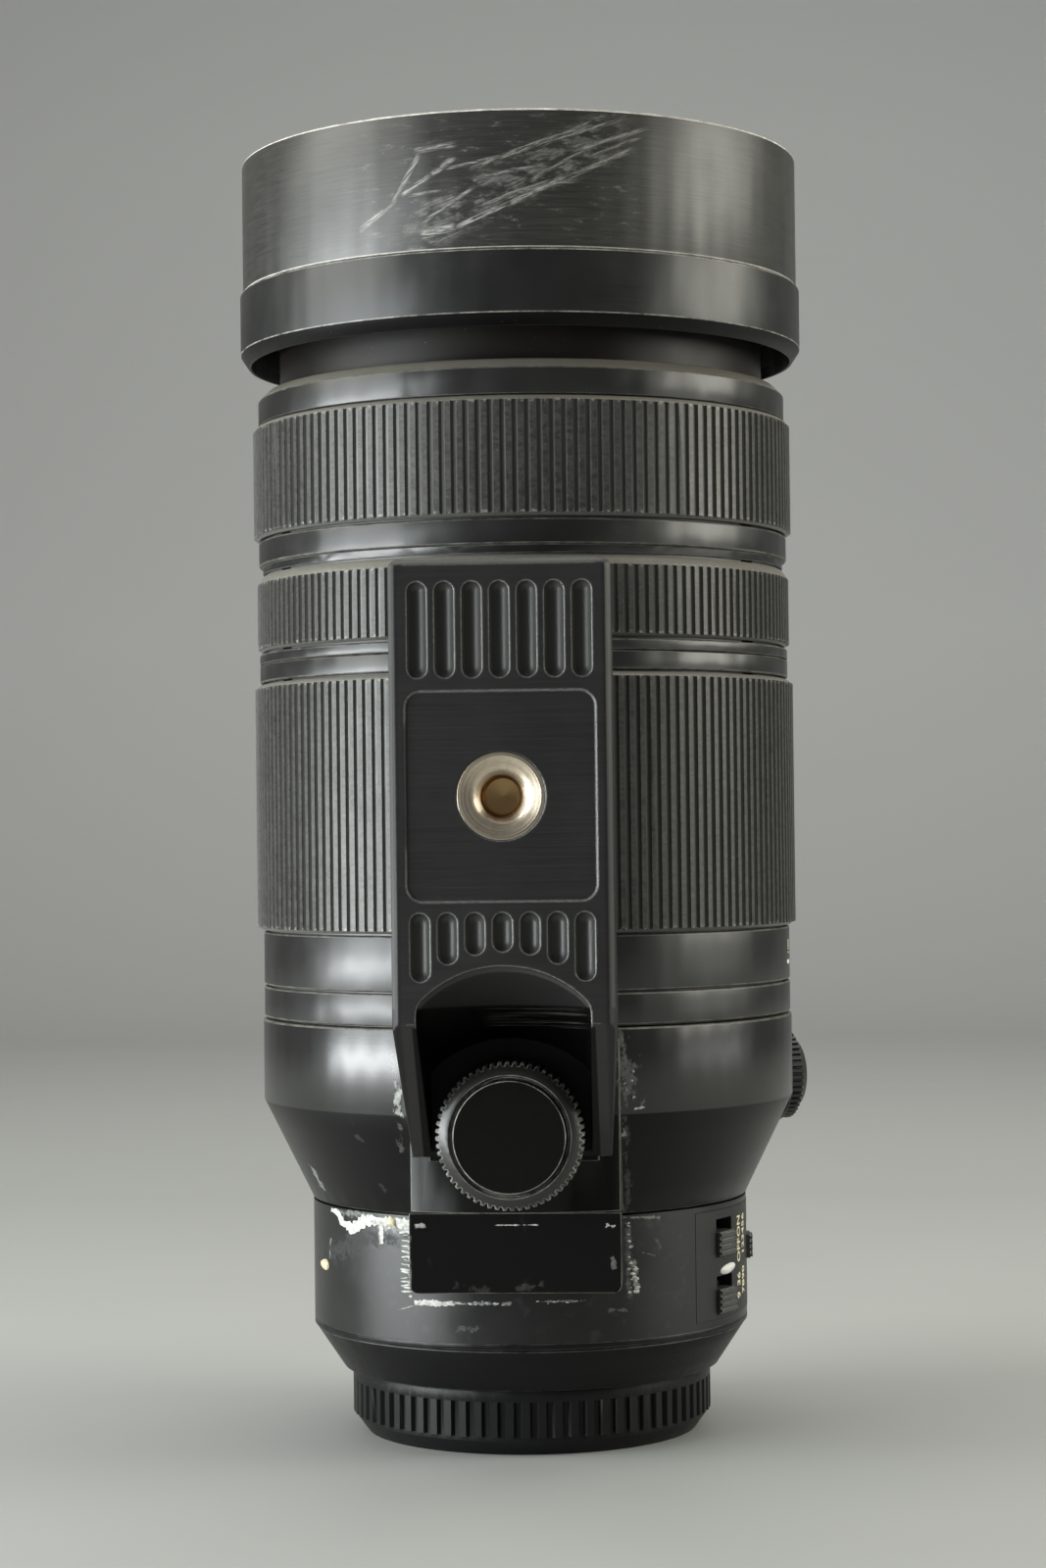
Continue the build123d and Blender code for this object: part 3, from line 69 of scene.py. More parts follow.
# The collar's round wall and the top of its cone, which its block hides from its box
COLLAR_RADIUS = 40.7
CONE_TOP = 50.7
FOOT_LOW, FOOT_HIGH = (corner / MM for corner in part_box("foot"))
BUSH_LOW, BUSH_HIGH = (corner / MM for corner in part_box("tripod_bush"))
BUSH_HEIGHT = (BUSH_LOW.z + BUSH_HIGH.z) / 2
BUSH_BORE, BUSH_PITCH = 2.6, 1.27
FILTER_BORE, FILTER_PITCH = 35.6, 0.75
FOOT_KNOB_LOW, FOOT_KNOB_HIGH = (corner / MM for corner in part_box("foot_knob"))
FOOT_KNOB_HEIGHT = (FOOT_KNOB_LOW.z + FOOT_KNOB_HIGH.z) / 2


def new_object(name, data):
    """Puts a new object into the scene."""
    made = bpy.data.objects.new(name, data)
    bpy.context.scene.collection.objects.link(made)
    return made


# ---- node tree helpers ----

class Finish:
    """A material with short calls that add nodes and join them."""

    def __init__(self, name, colour, roughness=0.4, metallic=0.0, specular=0.5):
        self.material = bpy.data.materials.new(name)
        self.material.use_nodes = True
        self.tree = self.material.node_tree
        self.shader = self.tree.nodes["Principled BSDF"]
        self.set("Base Color", (*colour, 1))
        self.set("Roughness", roughness)
        self.set("Metallic", metallic)
        self.set("Specular IOR Level", specular)
        self.cache = {}

    def set(self, socket, value):
        self.shader.inputs[socket].default_value = value

    def node(self, kind, *sources, **settings):
        """Adds a node, sets its properties, and feeds its inputs in order."""
        made = self.tree.nodes.new(kind)
        for key, value in settings.items():
            setattr(made, key, value)
        for index, source in enumerate(sources):
            self.feed(made.inputs[index], source)
        return made

    def feed(self, socket, source):
        """Joins a socket to another node's output, or sets its value."""
        if source is None:
            return
        if isinstance(source, bpy.types.NodeSocket):
            self.tree.links.new(source, socket)
        elif isinstance(source, tuple) and socket.type == "RGBA":
            socket.default_value = (*source, 1)
        else:
            socket.default_value = source

    def math(self, operation, a, b=None, c=None):
        return self.node("ShaderNodeMath", a, b, c, operation=operation).outputs[0]

    def plus(self, a, b):
        return self.math("ADD", a, b)

    def minus(self, a, b):
        return self.math("SUBTRACT", a, b)

    def size(self, value):
        return self.math("ABSOLUTE", value)

    def besides(self, mask):
        """1 where a mask is 0."""
        return self.minus(1.0, mask)

    def times(self, *values):
        result = values[0]
        for value in values[1:]:
            result = self.math("MULTIPLY", result, value)
        return result

    def most(self, *values):
        result = values[0]
        for value in values[1:]:
            result = self.math("MAXIMUM", result, value)
        return result

    def place(self):
        """Position on the piece."""
        if "place" not in self.cache:
            where = self.node("ShaderNodeTexCoord").outputs["Object"]
            scaled = self.node("ShaderNodeVectorMath", where, operation="SCALE")
            scaled.inputs["Scale"].default_value = 1 / MM
            self.cache["place"] = scaled.outputs[0]
        return self.cache["place"]

    def xyz(self):
        if "xyz" not in self.cache:
            parts = self.node("ShaderNodeSeparateXYZ", self.place())
            self.cache["xyz"] = tuple(parts.outputs)
        return self.cache["xyz"]

    def polar(self):
        """Azimuth, radius and height."""
        if "polar" not in self.cache:
            x, y, z = self.xyz()
            turn = self.math("DEGREES", self.math("ARCTAN2", x, self.times(y, -1)))
            self.cache["polar"] = (turn, self.distance(x, y), z)
        return self.cache["polar"]

    def about_y(self, height):
        """Way up from an axis along Y at a height, and distance from it."""
        x, _, z = self.xyz()
        up = self.minus(z, height)
        return up, self.distance(x, up)

    def distance(self, a, b):
        return self.math("SQRT", self.plus(self.times(a, a), self.times(b, b)))

    def vector(self, x, y, z):
        return self.node("ShaderNodeCombineXYZ", x, y, z).outputs[0]

    def stretched(self, sx, sy, sz):
        """Position, scaled on each axis."""
        return self.node("ShaderNodeVectorMath", self.place(), (sx, sy, sz), operation="MULTIPLY").outputs[0]

    def noise(self, vector, scale, detail=3.0, rough=0.55):
        made = self.node("ShaderNodeTexNoise", vector)
        made.inputs["Scale"].default_value = scale
        made.inputs["Detail"].default_value = detail
        made.inputs["Roughness"].default_value = rough
        return made.outputs["Fac"]

    def cloud(self, scale, detail=3.0, rough=0.55):
        """Noise over the whole piece."""
        return self.noise(self.place(), scale, detail, rough)

    def window(self, value, low, high):
        """Smooth step of a value from 0 at low to 1 at high."""
        return self.node("ShaderNodeMapRange", value, low, high, 0.0, 1.0,
                         interpolation_type="SMOOTHSTEP").outputs[0]

    def remap(self, value, low, high, to_low, to_high):
        return self.node("ShaderNodeMapRange", value, low, high, to_low, to_high).outputs[0]

    def spread(self, field, to_low, to_high):
        """Maps the usual range of a noise."""
        return self.remap(field, 0.3, 0.7, to_low, to_high)

    def near(self, value, centre, half, soft):
        """1 within half of a centre, falling to 0 over soft."""
        return self.window(self.size(self.minus(value, centre)), half + soft, half)

    def blend(self, factor, first, second):
        """Colour between two others."""
        made = self.node("ShaderNodeMix", data_type="RGBA")
        self.feed(made.inputs["Factor"], factor)
        self.feed(made.inputs[6], first)
        self.feed(made.inputs[7], second)
        return made.outputs[2]

    def colour(self, source):
        self.feed(self.shader.inputs["Base Color"], source)

    def roughness(self, source):
        self.feed(self.shader.inputs["Roughness"], source)

    def rounded(self, radius):
        """Rounds the edges in the shading. Returns a mask of the edges, which take pale rubbed metal and
        painted highlight.
        """
        soft = self.node("ShaderNodeBevel", radius * MM, samples=6).outputs[0]
        own = self.node("ShaderNodeNewGeometry").outputs["True Normal"]
        turned = self.node("ShaderNodeVectorMath", soft, own, operation="DOT_PRODUCT").outputs["Value"]
        self.cache["bump"] = soft
        return self.window(turned, 0.995, 0.86)

    def shine(self, factor, low):
        """Dims the reflection of a dielectric to a share where a mask is 1."""
        self.feed(self.shader.inputs["Specular Tint"], self.blend(factor, (1.0, 1.0, 1.0), (low, low, low)))

    def bump(self, height, distance, strength=1.0):
        made = self.node("ShaderNodeBump")
        made.inputs["Strength"].default_value = strength
        made.inputs["Distance"].default_value = distance * MM
        self.feed(made.inputs["Height"], height)
        if "bump" in self.cache:
            self.feed(made.inputs["Normal"], self.cache["bump"])
        self.cache["bump"] = made.outputs[0]
        self.feed(self.shader.inputs["Normal"], self.cache["bump"])

    def turning_lines(self, pitch=0.12):
        """Fine lathe lines round the optical axis, on walls and on faces alike."""
        _, radius, height = self.polar()
        x, y, _ = self.xyz()
        # Slow change along a line, and how dense lines on faces are beside those on walls
        drift, slope = 0.03, 0.8
        across = self.plus(self.times(height, 1 / pitch), self.times(radius, slope / pitch))
        return self.noise(self.vector(self.times(x, drift), self.times(y, drift), across), 1.0, 2.0, 0.6)


def coat(finish, *names):
    """Gives a finish to CAD nodes."""
    for name in names:
        nodes[name].data.materials.clear()
        nodes[name].data.materials.append(finish.material)


# ---- finishes ----

BLACK_ANODISED = (0.0085, 0.0085, 0.008)
BLACK_MATTE = (0.0022, 0.0023, 0.0022)
# Cream of rubbed chamfers, lips and edges, which also stands for light reflected on them: partly a painted
# highlight
RUBBED_EDGE_AND_HIGHLIGHT = (0.155, 0.148, 0.125)
WORN_METAL = (0.34, 0.33, 0.30)
DUST = (0.30, 0.29, 0.26)
RESIDUE = (0.60, 0.61, 0.57)


def anodised(name, shade=BLACK_ANODISED, roughness=0.33, lines=0.35, specular=0.55, rubbed=(), dull=()):
    """Satin black anodised metal: lathe lines, faint dust, nicks, and zones of height: rubbed ones in cream
    streaks, partly a painted highlight, and dull ones of painted shade, darker with dimmed reflection.
    """
    f = Finish(name, shade, roughness, 0.0, specular)
    height = f.xyz()[2]
    grain = f.turning_lines()
    clouds = f.cloud(0.09, 4.0)
    f.roughness(f.plus(f.spread(clouds, roughness - 0.05, roughness + 0.06),
                       f.spread(grain, -0.04 * lines, 0.05 * lines)))
    specks = f.cloud(3.1, 2.0)
    nicks = f.times(f.window(specks, 0.73, 0.78), f.window(clouds, 0.45, 0.6))
    tint = f.blend(f.remap(clouds, 0.35, 0.7, 0.0, 0.35), shade, tuple(c * 1.6 + 0.003 for c in shade))
    # Rubbed zones: cream streaks of rubbed metal, partly a painted highlight on the chamfer
    for low, high in rubbed:
        worn = f.times(f.near(height, (low + high) / 2, (high - low) / 2, 0.06), f.spread(grain, 0.8, 1.0))
        tint = f.blend(worn, tint, RUBBED_EDGE_AND_HIGHLIGHT)
    # Dull zones: painted shade, a darker black with dimmed reflection
    for low, high in dull:
        painted_shade_zone = f.near(height, (low + high) / 2, (high - low) / 2, 0.05)
        tint = f.blend(painted_shade_zone, tint, BLACK_MATTE)
        f.shine(painted_shade_zone, 0.22)
    f.colour(f.blend(f.times(nicks, 0.55), tint, DUST))
    f.bump(grain, 0.012, lines)
    return f


def ribbed_finish(name, node, lip_height, roughness=0.36):
    """Anodised grip: rubbed lands over paler groove floors, which are dust and painted light, a cream lip,
    rubbed and partly a painted highlight, and dust at the ends of its grooves.
    """
    f = Finish(name, BLACK_ANODISED, roughness, 0.0, 0.5)
    turn, radius, height = f.polar()
    outer = reach(node)
    low, high = span(node)
    land = f.window(radius, outer - 0.30, outer - 0.02)
    clouds = f.cloud(0.16, 4.0)
    streaks = f.noise(f.vector(f.times(turn, 0.8), radius, f.times(height, 2.2)), 1.0, 3.0)
    rubbed = f.times(land, f.remap(streaks, 0.35, 0.7, 0.35, 1.0))
    # Groove floors paler than the lands: dust, and painted light that lifts the shade in the grooves
    base = f.blend(rubbed, (0.080, 0.079, 0.072), (0.020, 0.0195, 0.018))
    f.shine(land, 0.82)
    # Cream lip: rubbed metal, partly a painted highlight on its chamfer
    edge = high - lip_height
    lip = f.times(f.window(height, edge - 0.12, edge + 0.04), f.spread(streaks, 0.75, 1.0))
    base = f.blend(lip, base, RUBBED_EDGE_AND_HIGHLIGHT)
    ends = f.most(f.near(height, low + 0.55, 0.12, 0.25), f.near(height, edge - 0.1, 0.12, 0.25))
    chips = f.times(ends, land, f.window(f.cloud(1.9, 3.0), 0.50, 0.62))
    specks = f.times(f.window(f.cloud(3.7, 1.0), 0.74, 0.79), f.window(clouds, 0.42, 0.55))
    f.colour(f.blend(f.times(f.most(chips, specks), 0.6), base, DUST))
    f.roughness(f.spread(clouds, roughness - 0.05, roughness + 0.07))
    f.bump(streaks, 0.01, 0.5)
    return f


def along_line(f, across, height, start, end):
    """Places along and beside a line between two points of a wall, and the line's length."""
    dx, dz = end[0] - start[0], end[1] - start[1]
    length = math.hypot(dx, dz)
    cos, sin = dx / length, dz / length
    px, pz = f.minus(across, start[0]), f.minus(height, start[1])
    along = f.math("MULTIPLY_ADD", px, cos, f.times(pz, sin))
    beside = f.math("MULTIPLY_ADD", pz, cos, f.times(px, -sin))
    return along, beside, length


def stroke(f, across, height, fibres, start, end, width):
    """Mask of one fibrous scratch between two points of a wall."""
    along, beside, length = along_line(f, across, height, start, end)
    ends = f.times(f.window(along, -0.02 * length, 0.12 * length), f.window(along, 1.04 * length, 0.8 * length))
    return f.times(ends, f.window(f.size(beside), width, width * 0.25), fibres)


def ragged(f, across, height, torn, marks):
    """Mask of torn residue along lines given as start, end, half width and strength."""
    lines = []
    for start, end, width, strength in marks:
        along, beside, length = along_line(f, across, height, start, end)
        beyond = f.minus(f.size(f.minus(along, length / 2)), length / 2)
        edge = f.plus(f.most(f.size(beside), beyond), f.remap(torn, 0.35, 0.65, -width * 0.4, width * 1.3))
        lines.append(f.times(f.window(edge, width * 1.15, width * 0.65), strength))
    return f.most(*lines)


def fibre_field(f, along, height, tilt):
    """Broken fibres that run along a tilt in degrees from the horizontal."""
    cos, sin = math.cos(math.radians(tilt)), math.sin(math.radians(tilt))
    s = f.math("MULTIPLY_ADD", along, cos, f.times(height, sin))
    t = f.math("MULTIPLY_ADD", height, cos, f.times(along, -sin))
    lines = f.noise(f.vector(f.times(s, 0.35), f.times(t, 4.5), float(tilt)), 1.0, 4.0, 0.75)
    return f.window(lines, 0.40, 0.62)


# Scratches on the hood: start and end as (azimuth, height), width, strength
SCRATCHES = (
    ((-29.5, 178.0), (-23.5, 180.6), 0.55, 1.0),
    ((-25.0, 179.8), (-21.5, 181.6), 0.35, 0.6),
    ((-22.0, 181.2), (-16.0, 188.3), 0.50, 0.8),
    ((-20.0, 182.4), (-13.7, 185.1), 0.45, 0.9),
    ((-13.9, 185.0), (-9.0, 187.4), 0.60, 0.9),
    ((-17.5, 188.6), (-8.5, 189.2), 0.60, 0.6),
    ((-16.2, 176.5), (-8.8, 177.5), 0.90, 1.0),
    ((-9.2, 177.2), (1.6, 180.7), 0.55, 1.0),
    ((1.0, 180.3), (13.0, 184.6), 0.60, 0.9),
    ((12.0, 184.0), (26.4, 188.9), 0.50, 0.7),
    ((-16.0, 178.1), (-5.0, 183.1), 0.40, 0.8),
    ((-11.0, 185.7), (0.2, 187.3), 0.30, 0.7),
    ((-1.0, 187.0), (17.0, 191.9), 0.35, 0.7),
    ((-6.5, 185.5), (6.5, 188.7), 0.35, 0.7),
    ((6.0, 188.4), (24.8, 193.2), 0.35, 0.6),
    ((4.8, 183.4), (17.0, 188.8), 0.35, 0.6),
    ((14.5, 188.2), (29.0, 191.9), 0.45, 0.7),
    ((16.4, 187.1), (28.0, 190.7), 0.35, 0.5),
    ((-4.3, 184.3), (9.3, 186.2), 0.30, 0.7),
    ((-0.6, 181.4), (9.2, 183.8), 0.35, 0.6),
    ((-19.0, 182.2), (-11.6, 182.8), 0.30, 0.6),
    ((7.0, 188.4), (18.0, 192.8), 0.30, 0.6),
    ((-6.3, 179.5), (5.6, 183.1), 0.30, 0.7),
    ((2.0, 182.0), (15.0, 184.0), 0.55, 0.5),
)


def scratched_hood():
    """Brushed hood metal, rubbed and heavily scratched on the side of the foot, with worn rim and step edges
    that are partly a painted glint.
    """
    shade = (0.014, 0.014, 0.0125)
    f = Finish("hood_scratched_metal", shade, 0.4, 0.0, 0.62)
    turn, radius, height = f.polar()
    per_degree = math.radians(1) * HOOD_RADIUS
    along = f.times(turn, per_degree)
    fine = f.noise(f.vector(f.times(along, 0.16), radius, f.times(height, 5.0)), 1.0, 4.0, 0.7)
    fields = {tilt: fibre_field(f, along, height, tilt) for tilt in (5, 22, 45)}
    lines = []
    for start, end, width, strength in SCRATCHES:
        first, last = (Vector((azimuth * per_degree, up)) for azimuth, up in (start, end))
        tilt = math.degrees(math.atan2(last.y - first.y, last.x - first.x))
        fibres = fields[min(fields, key=lambda other: abs(other - tilt))]
        lines.append(f.times(stroke(f, along, height, fibres, first, last, width), strength))
    marks = f.most(*lines)

    # Haze over the middle, and a web of fine scratches along a band that rises to the right
    haze_field = f.noise(f.vector(f.times(along, 0.25), f.times(height, 0.9), 0.0), 1.0, 5.0, 0.75)
    haze = f.times(f.near(turn, -1, 20, 16), f.near(height, 184, 6, 6), f.window(haze_field, 0.55, 0.75))
    uphill = f.math("MULTIPLY_ADD", turn, -0.36, f.minus(height, 183.0))
    patches = f.noise(f.vector(f.times(along, 0.3), f.times(height, 0.6), 3.0), 1.0, 4.0)
    web = f.times(f.near(uphill, 0.0, 2.6, 2.4), f.near(turn, 2, 17, 9),
                  f.most(fields[22], f.times(fields[5], 0.6)), f.window(patches, 0.44, 0.6))
    smudge_field = f.noise(f.stretched(1.0, 1.0, 1.6), 0.5, 5.0, 0.75)
    smudges = f.times(f.window(smudge_field, 0.70, 0.82), 0.45)

    outside = f.window(radius, HOOD_RADIUS - 0.6, HOOD_RADIUS - 0.3)
    # Rim and step edges in paler worn metal, which also stand for a painted glint along them
    edges = f.most(f.near(height, HOOD_FRONT, 0.24, 0.12), f.near(height, HOOD_STEP, 0.16, 0.12))
    pale_marks = f.times(outside, f.most(marks, f.times(web, 0.42), f.times(haze, 0.35), smudges))
    base = f.blend(f.remap(fine, 0.35, 0.7, 0.0, 1.0), shade, (0.040, 0.039, 0.034))
    scratched = f.blend(pale_marks, base, (0.42, 0.41, 0.38))
    f.colour(f.blend(f.times(edges, outside, f.window(fine, 0.3, 0.5)), scratched, WORN_METAL))
    clouds = f.cloud(0.07, 4.0)
    f.roughness(f.plus(f.spread(clouds, 0.33, 0.45), f.times(marks, 0.25)))
    f.bump(f.turning_lines(0.16), 0.012, 0.5)
    return f


def edge_wear_and_highlight(name, base, shade, low=0.0, high=1.0, roughness=0.42, painted_shade_below=None):
    """Pale edge in patches: rubbed metal and a painted edge highlight, and below a given height painted shade
    instead, with dimmed reflection.
    """
    f = Finish(name, shade, roughness, 0.0, 0.5)
    patches = f.cloud(0.35, 5.0, 0.75)
    worn = f.remap(patches, 0.36, 0.62, low, high)
    # Below the given height: painted shade, no pale edge and dimmed reflection
    if painted_shade_below:
        painted_shade_part = f.window(f.xyz()[2], painted_shade_below, painted_shade_below - 0.3)
        worn = f.times(worn, f.besides(painted_shade_part))
        f.shine(painted_shade_part, 0.22)
    f.colour(f.blend(worn, base, shade))
    f.roughness(f.spread(patches, roughness - 0.05, roughness + 0.08))
    f.bump(patches, 0.01, 0.4)
    return f


def moulded(name, shade, roughness=0.5, grain_size=0.25, depth=0.02, specular=0.45):
    """Moulded plastic with a fine grain."""
    f = Finish(name, shade, roughness, 0.0, specular)
    grain = f.cloud(1 / grain_size, 3.0)
    clouds = f.cloud(0.12, 4.0)
    f.colour(f.blend(f.remap(clouds, 0.35, 0.7, 0.0, 0.5), shade, tuple(c * 1.7 for c in shade)))
    f.roughness(f.spread(grain, roughness - 0.06, roughness + 0.08))
    f.bump(grain, depth, 0.6)
    return f


def bare_metal(name, shade, roughness, axis_height=None):
    """Bare turned metal, with lines round the optical axis or round an axis along Y."""
    f = Finish(name, shade, roughness, 1.0, 0.5)
    pitch = 0.1
    if axis_height is None:
        grain = f.turning_lines(pitch)
    else:
        x, y, _ = f.xyz()
        _, away = f.about_y(axis_height)
        where = f.vector(f.times(x, 0.05), f.times(y, 1 / pitch), f.times(away, 1 / pitch))
        grain = f.noise(where, 1.0, 2.0)
    f.colour(f.blend(f.spread(grain, 0.0, 1.0), tuple(c * 0.82 for c in shade), shade))
    f.roughness(f.spread(grain, roughness - 0.06, roughness + 0.08))
    f.bump(grain, 0.01, 0.6)
    return f


# Places on the foot: half width and top of the thumb arch, half width of the flat face,
# how far the floors of the grooves lie behind it, and the edges of the recessed pad
ARCH_HALF, ARCH_TOP = 12.6, 67.6
FACE_HALF, GROOVE = 13.0, 0.8
PAD_LOW, PAD_HIGH = 88.0, 107.2


def foot_finish():
    """Matte black foot with milling lines across it and a few nicks. Painted shade darkens the thumb arch and
    dims the reflection there and on the flanks; painted light lifts the groove floors and rims.
    """
    shade = (0.0125, 0.0125, 0.012)
    f = Finish("foot_black_anodised", shade, 0.42, 0.0, 0.45)
    x, y, z = f.xyz()
    aside = f.size(x)
    face = FOOT_LOW.y
    half = (FOOT_HIGH.x - FOOT_LOW.x) / 2
    milling = f.noise(f.stretched(0.05, 0.05, 5.5), 1.0, 3.0, 0.65)
    clouds = f.cloud(0.1, 4.0)
    specks_field = f.noise(f.stretched(1, 1, 1.8), 1.7, 3.0)
    specks = f.times(f.window(specks_field, 0.72, 0.78), f.window(clouds, 0.5, 0.62))
    arch = f.times(f.window(aside, ARCH_HALF, ARCH_HALF - 0.3), f.window(z, ARCH_TOP, ARCH_TOP - 0.4),
                   f.window(y, face + 0.2, face + 0.6))
    arch_marks = f.times(f.near(x, 4.0, 5.0, 3.0), f.near(z, ARCH_TOP - 2.0, 0.9, 0.8),
                         f.window(milling, 0.5, 0.62), arch)
    grooves = f.times(f.near(y, face + GROOVE, 0.4, 0.1), f.window(z, ARCH_TOP - 0.4, ARCH_TOP))
    base = f.blend(f.remap(milling, 0.35, 0.7, 0.0, 0.6), shade, (0.022, 0.022, 0.0215))
    # Groove floors paler than the face: painted light against the shade in the grooves
    base = f.blend(grooves, base, (0.045, 0.045, 0.043))
    # Thumb arch much darker: painted shade in the recess
    base = f.blend(arch, base, (0.0015, 0.0015, 0.0015))

    # Pale rims: rubbed metal, and a painted highlight on the rims that face the light; the foot's own outline
    # and the upper left of the pad are kept dark as painted shade.
    pad_left = f.times(f.window(z, PAD_LOW, PAD_LOW + 2.0), f.window(z, PAD_HIGH, PAD_HIGH - 2.2),
                       f.remap(f.minus(z, x), 90.0, 102.0, 0.0, 1.0))
    rims_left_dark = f.most(f.window(aside, FACE_HALF, FACE_HALF + 0.3), pad_left)
    edges = f.times(f.rounded(0.48), f.remap(specks_field, 0.35, 0.6, 0.45, 1.0), f.besides(arch),
                    f.remap(rims_left_dark, 0.0, 1.0, 1.0, 0.06))
    rubbed = f.blend(edges, base, (0.24, 0.24, 0.23))
    f.colour(f.blend(f.most(f.times(specks, 0.5), f.times(arch_marks, 0.25)), rubbed, DUST))
    f.roughness(f.plus(f.spread(clouds, 0.32, 0.42), f.spread(milling, -0.04, 0.05)))
    # Painted shade: dimmed reflection in the thumb arch and on the flanks
    flank_in_painted_shade = f.window(aside, half - 1.5, half - 0.9)
    f.shine(f.most(arch, f.times(flank_in_painted_shade, 0.7)), 0.25)
    f.bump(milling, 0.010, 0.5)
    return f


# Torn residue of tape and glue, and on the collar's block a few painted glints: start and end as (x, z), half
# width and strength
COLLAR_RESIDUE_AND_GLINTS = (
    ((15.4, 62.4), (15.9, 58.2), 0.55, 0.22),
    ((16.5, 57.4), (16.9, 53.2), 1.55, 0.17),
    ((15.6, 61.0), (15.7, 52.4), 0.80, 0.12),
    ((17.2, 51.6), (18.4, 51.7), 0.22, 1.00),
    ((15.8, 50.2), (15.9, 36.4), 0.60, 0.09),
    ((15.4, 49.6), (15.5, 47.9), 0.30, 0.45),
    ((-16.6, 55.0), (-16.7, 51.4), 0.60, 0.60),
    ((-17.4, 59.0), (-17.0, 55.0), 0.50, 0.30),
    ((-16.6, 49.4), (-16.8, 45.6), 0.55, 0.12),
    ((-23.4, 47.4), (-22.6, 46.6), 0.40, 0.05),
    ((-20.4, 40.5), (-19.6, 39.2), 0.45, 0.05),
    ((-31.6, 41.4), (-30.2, 38.2), 0.55, 0.35),
    # The next four: a thin pale line along the block's top edge and spots at its corners, painted glints rather
    # than residue
    ((-2.8, 35.5), (3.2, 35.5), 0.10, 0.85),
    ((-13.9, 35.4), (-13.1, 35.5), 0.28, 0.80),
    ((13.2, 35.4), (14.2, 35.3), 0.28, 0.95),
    ((13.8, 30.6), (14.0, 29.6), 0.35, 0.25),
    ((-8.2, 27.0), (-4.0, 26.2), 0.60, 0.05),
    ((0.4, 26.4), (3.4, 27.0), 0.50, 0.06),
    ((-14.9, 34.0), (-14.9, 26.0), 0.12, 0.25),
)
BARREL_RESIDUE = (
    ((-27.2, 34.9), (-23.0, 35.1), 0.60, 0.30),
    ((-19.6, 33.6), (-16.0, 33.4), 0.90, 0.45),
    ((-20.9, 33.4), (-20.6, 31.2), 0.40, 0.30),
    ((-18.6, 33.4), (-16.2, 31.0), 1.10, 0.16),
    ((-29.1, 30.6), (-29.3, 27.6), 0.16, 0.30),
    ((-9.8, 23.2), (-1.2, 23.3), 0.30, 0.45),
    ((2.6, 23.6), (9.4, 23.5), 0.20, 0.45),
    ((-17.8, 21.7), (-15.0, 22.7), 0.08, 0.70),
    ((-8.8, 19.5), (-5.9, 19.6), 0.50, 0.10),
    ((12.9, 22.0), (15.4, 21.8), 0.40, 0.16),
    ((15.3, 35.2), (20.4, 34.8), 0.26, 0.35),
    ((15.8, 34.0), (15.9, 24.0), 0.65, 0.14),
    ((16.4, 28.4), (17.0, 24.4), 0.55, 0.42),
    ((17.9, 29.9), (19.6, 29.3), 0.08, 0.45),
    ((19.9, 31.4), (20.4, 30.2), 0.40, 0.08),
)
# Dull film that tape left on the barrel
BARREL_FILM = (((-28.2, 28.8), (-21.6, 32.0), 1.7, 1.0), ((-25.2, 31.2), (-17.0, 32.2), 1.4, 1.0))


def collar_finish():
    """Collar: satin metal, a darker matte cone and block, torn residue by the foot, painted glints on the
    block's top edge and corners, and a cream top edge that is partly a painted highlight.
    """
    f = Finish("collar_metal", BLACK_ANODISED, 0.25, 0.0, 0.6)
    x, y, height = f.xyz()
    high = span("collar")[1]
    clouds = f.cloud(0.1, 4.0)
    upper = f.window(height, CONE_TOP, CONE_TOP + 0.25)
    torn = f.noise(f.stretched(1.0, 1.0, 0.7), 0.8, 4.0, 0.62)
    film = f.cloud(1.6, 4.0, 0.6)
    near_foot = f.window(y, -8.0, -12.0)
    # Residue, and the painted glints on the block, in the residue colour
    glue = f.times(ragged(f, x, height, torn, COLLAR_RESIDUE_AND_GLINTS), near_foot, f.remap(film, 0.35, 0.65, 0.4, 1.0))
    dust_field = f.noise(f.stretched(0.6, 0.6, 0.25), 0.5, 5.0, 0.7)
    dust = f.times(f.window(y, -24.0, -28.0), f.window(dust_field, 0.62, 0.80), 0.02)
    base = f.blend(upper, BLACK_MATTE, BLACK_ANODISED)
    # Cream top edge: rubbed metal, partly a painted highlight
    base = f.blend(f.times(f.near(height, high - 0.1, 0.12, 0.05), 0.8), base, RUBBED_EDGE_AND_HIGHLIGHT)
    f.colour(f.blend(f.most(glue, dust), base, RESIDUE))
    plain = f.plus(f.remap(upper, 0, 1, 0.34, 0.25), f.spread(clouds, -0.015, 0.02))
    f.roughness(f.plus(plain, f.times(glue, 0.35)))
    f.shine(f.besides(upper), 0.30)
    f.bump(f.turning_lines(), 0.012, 0.4)
    return f


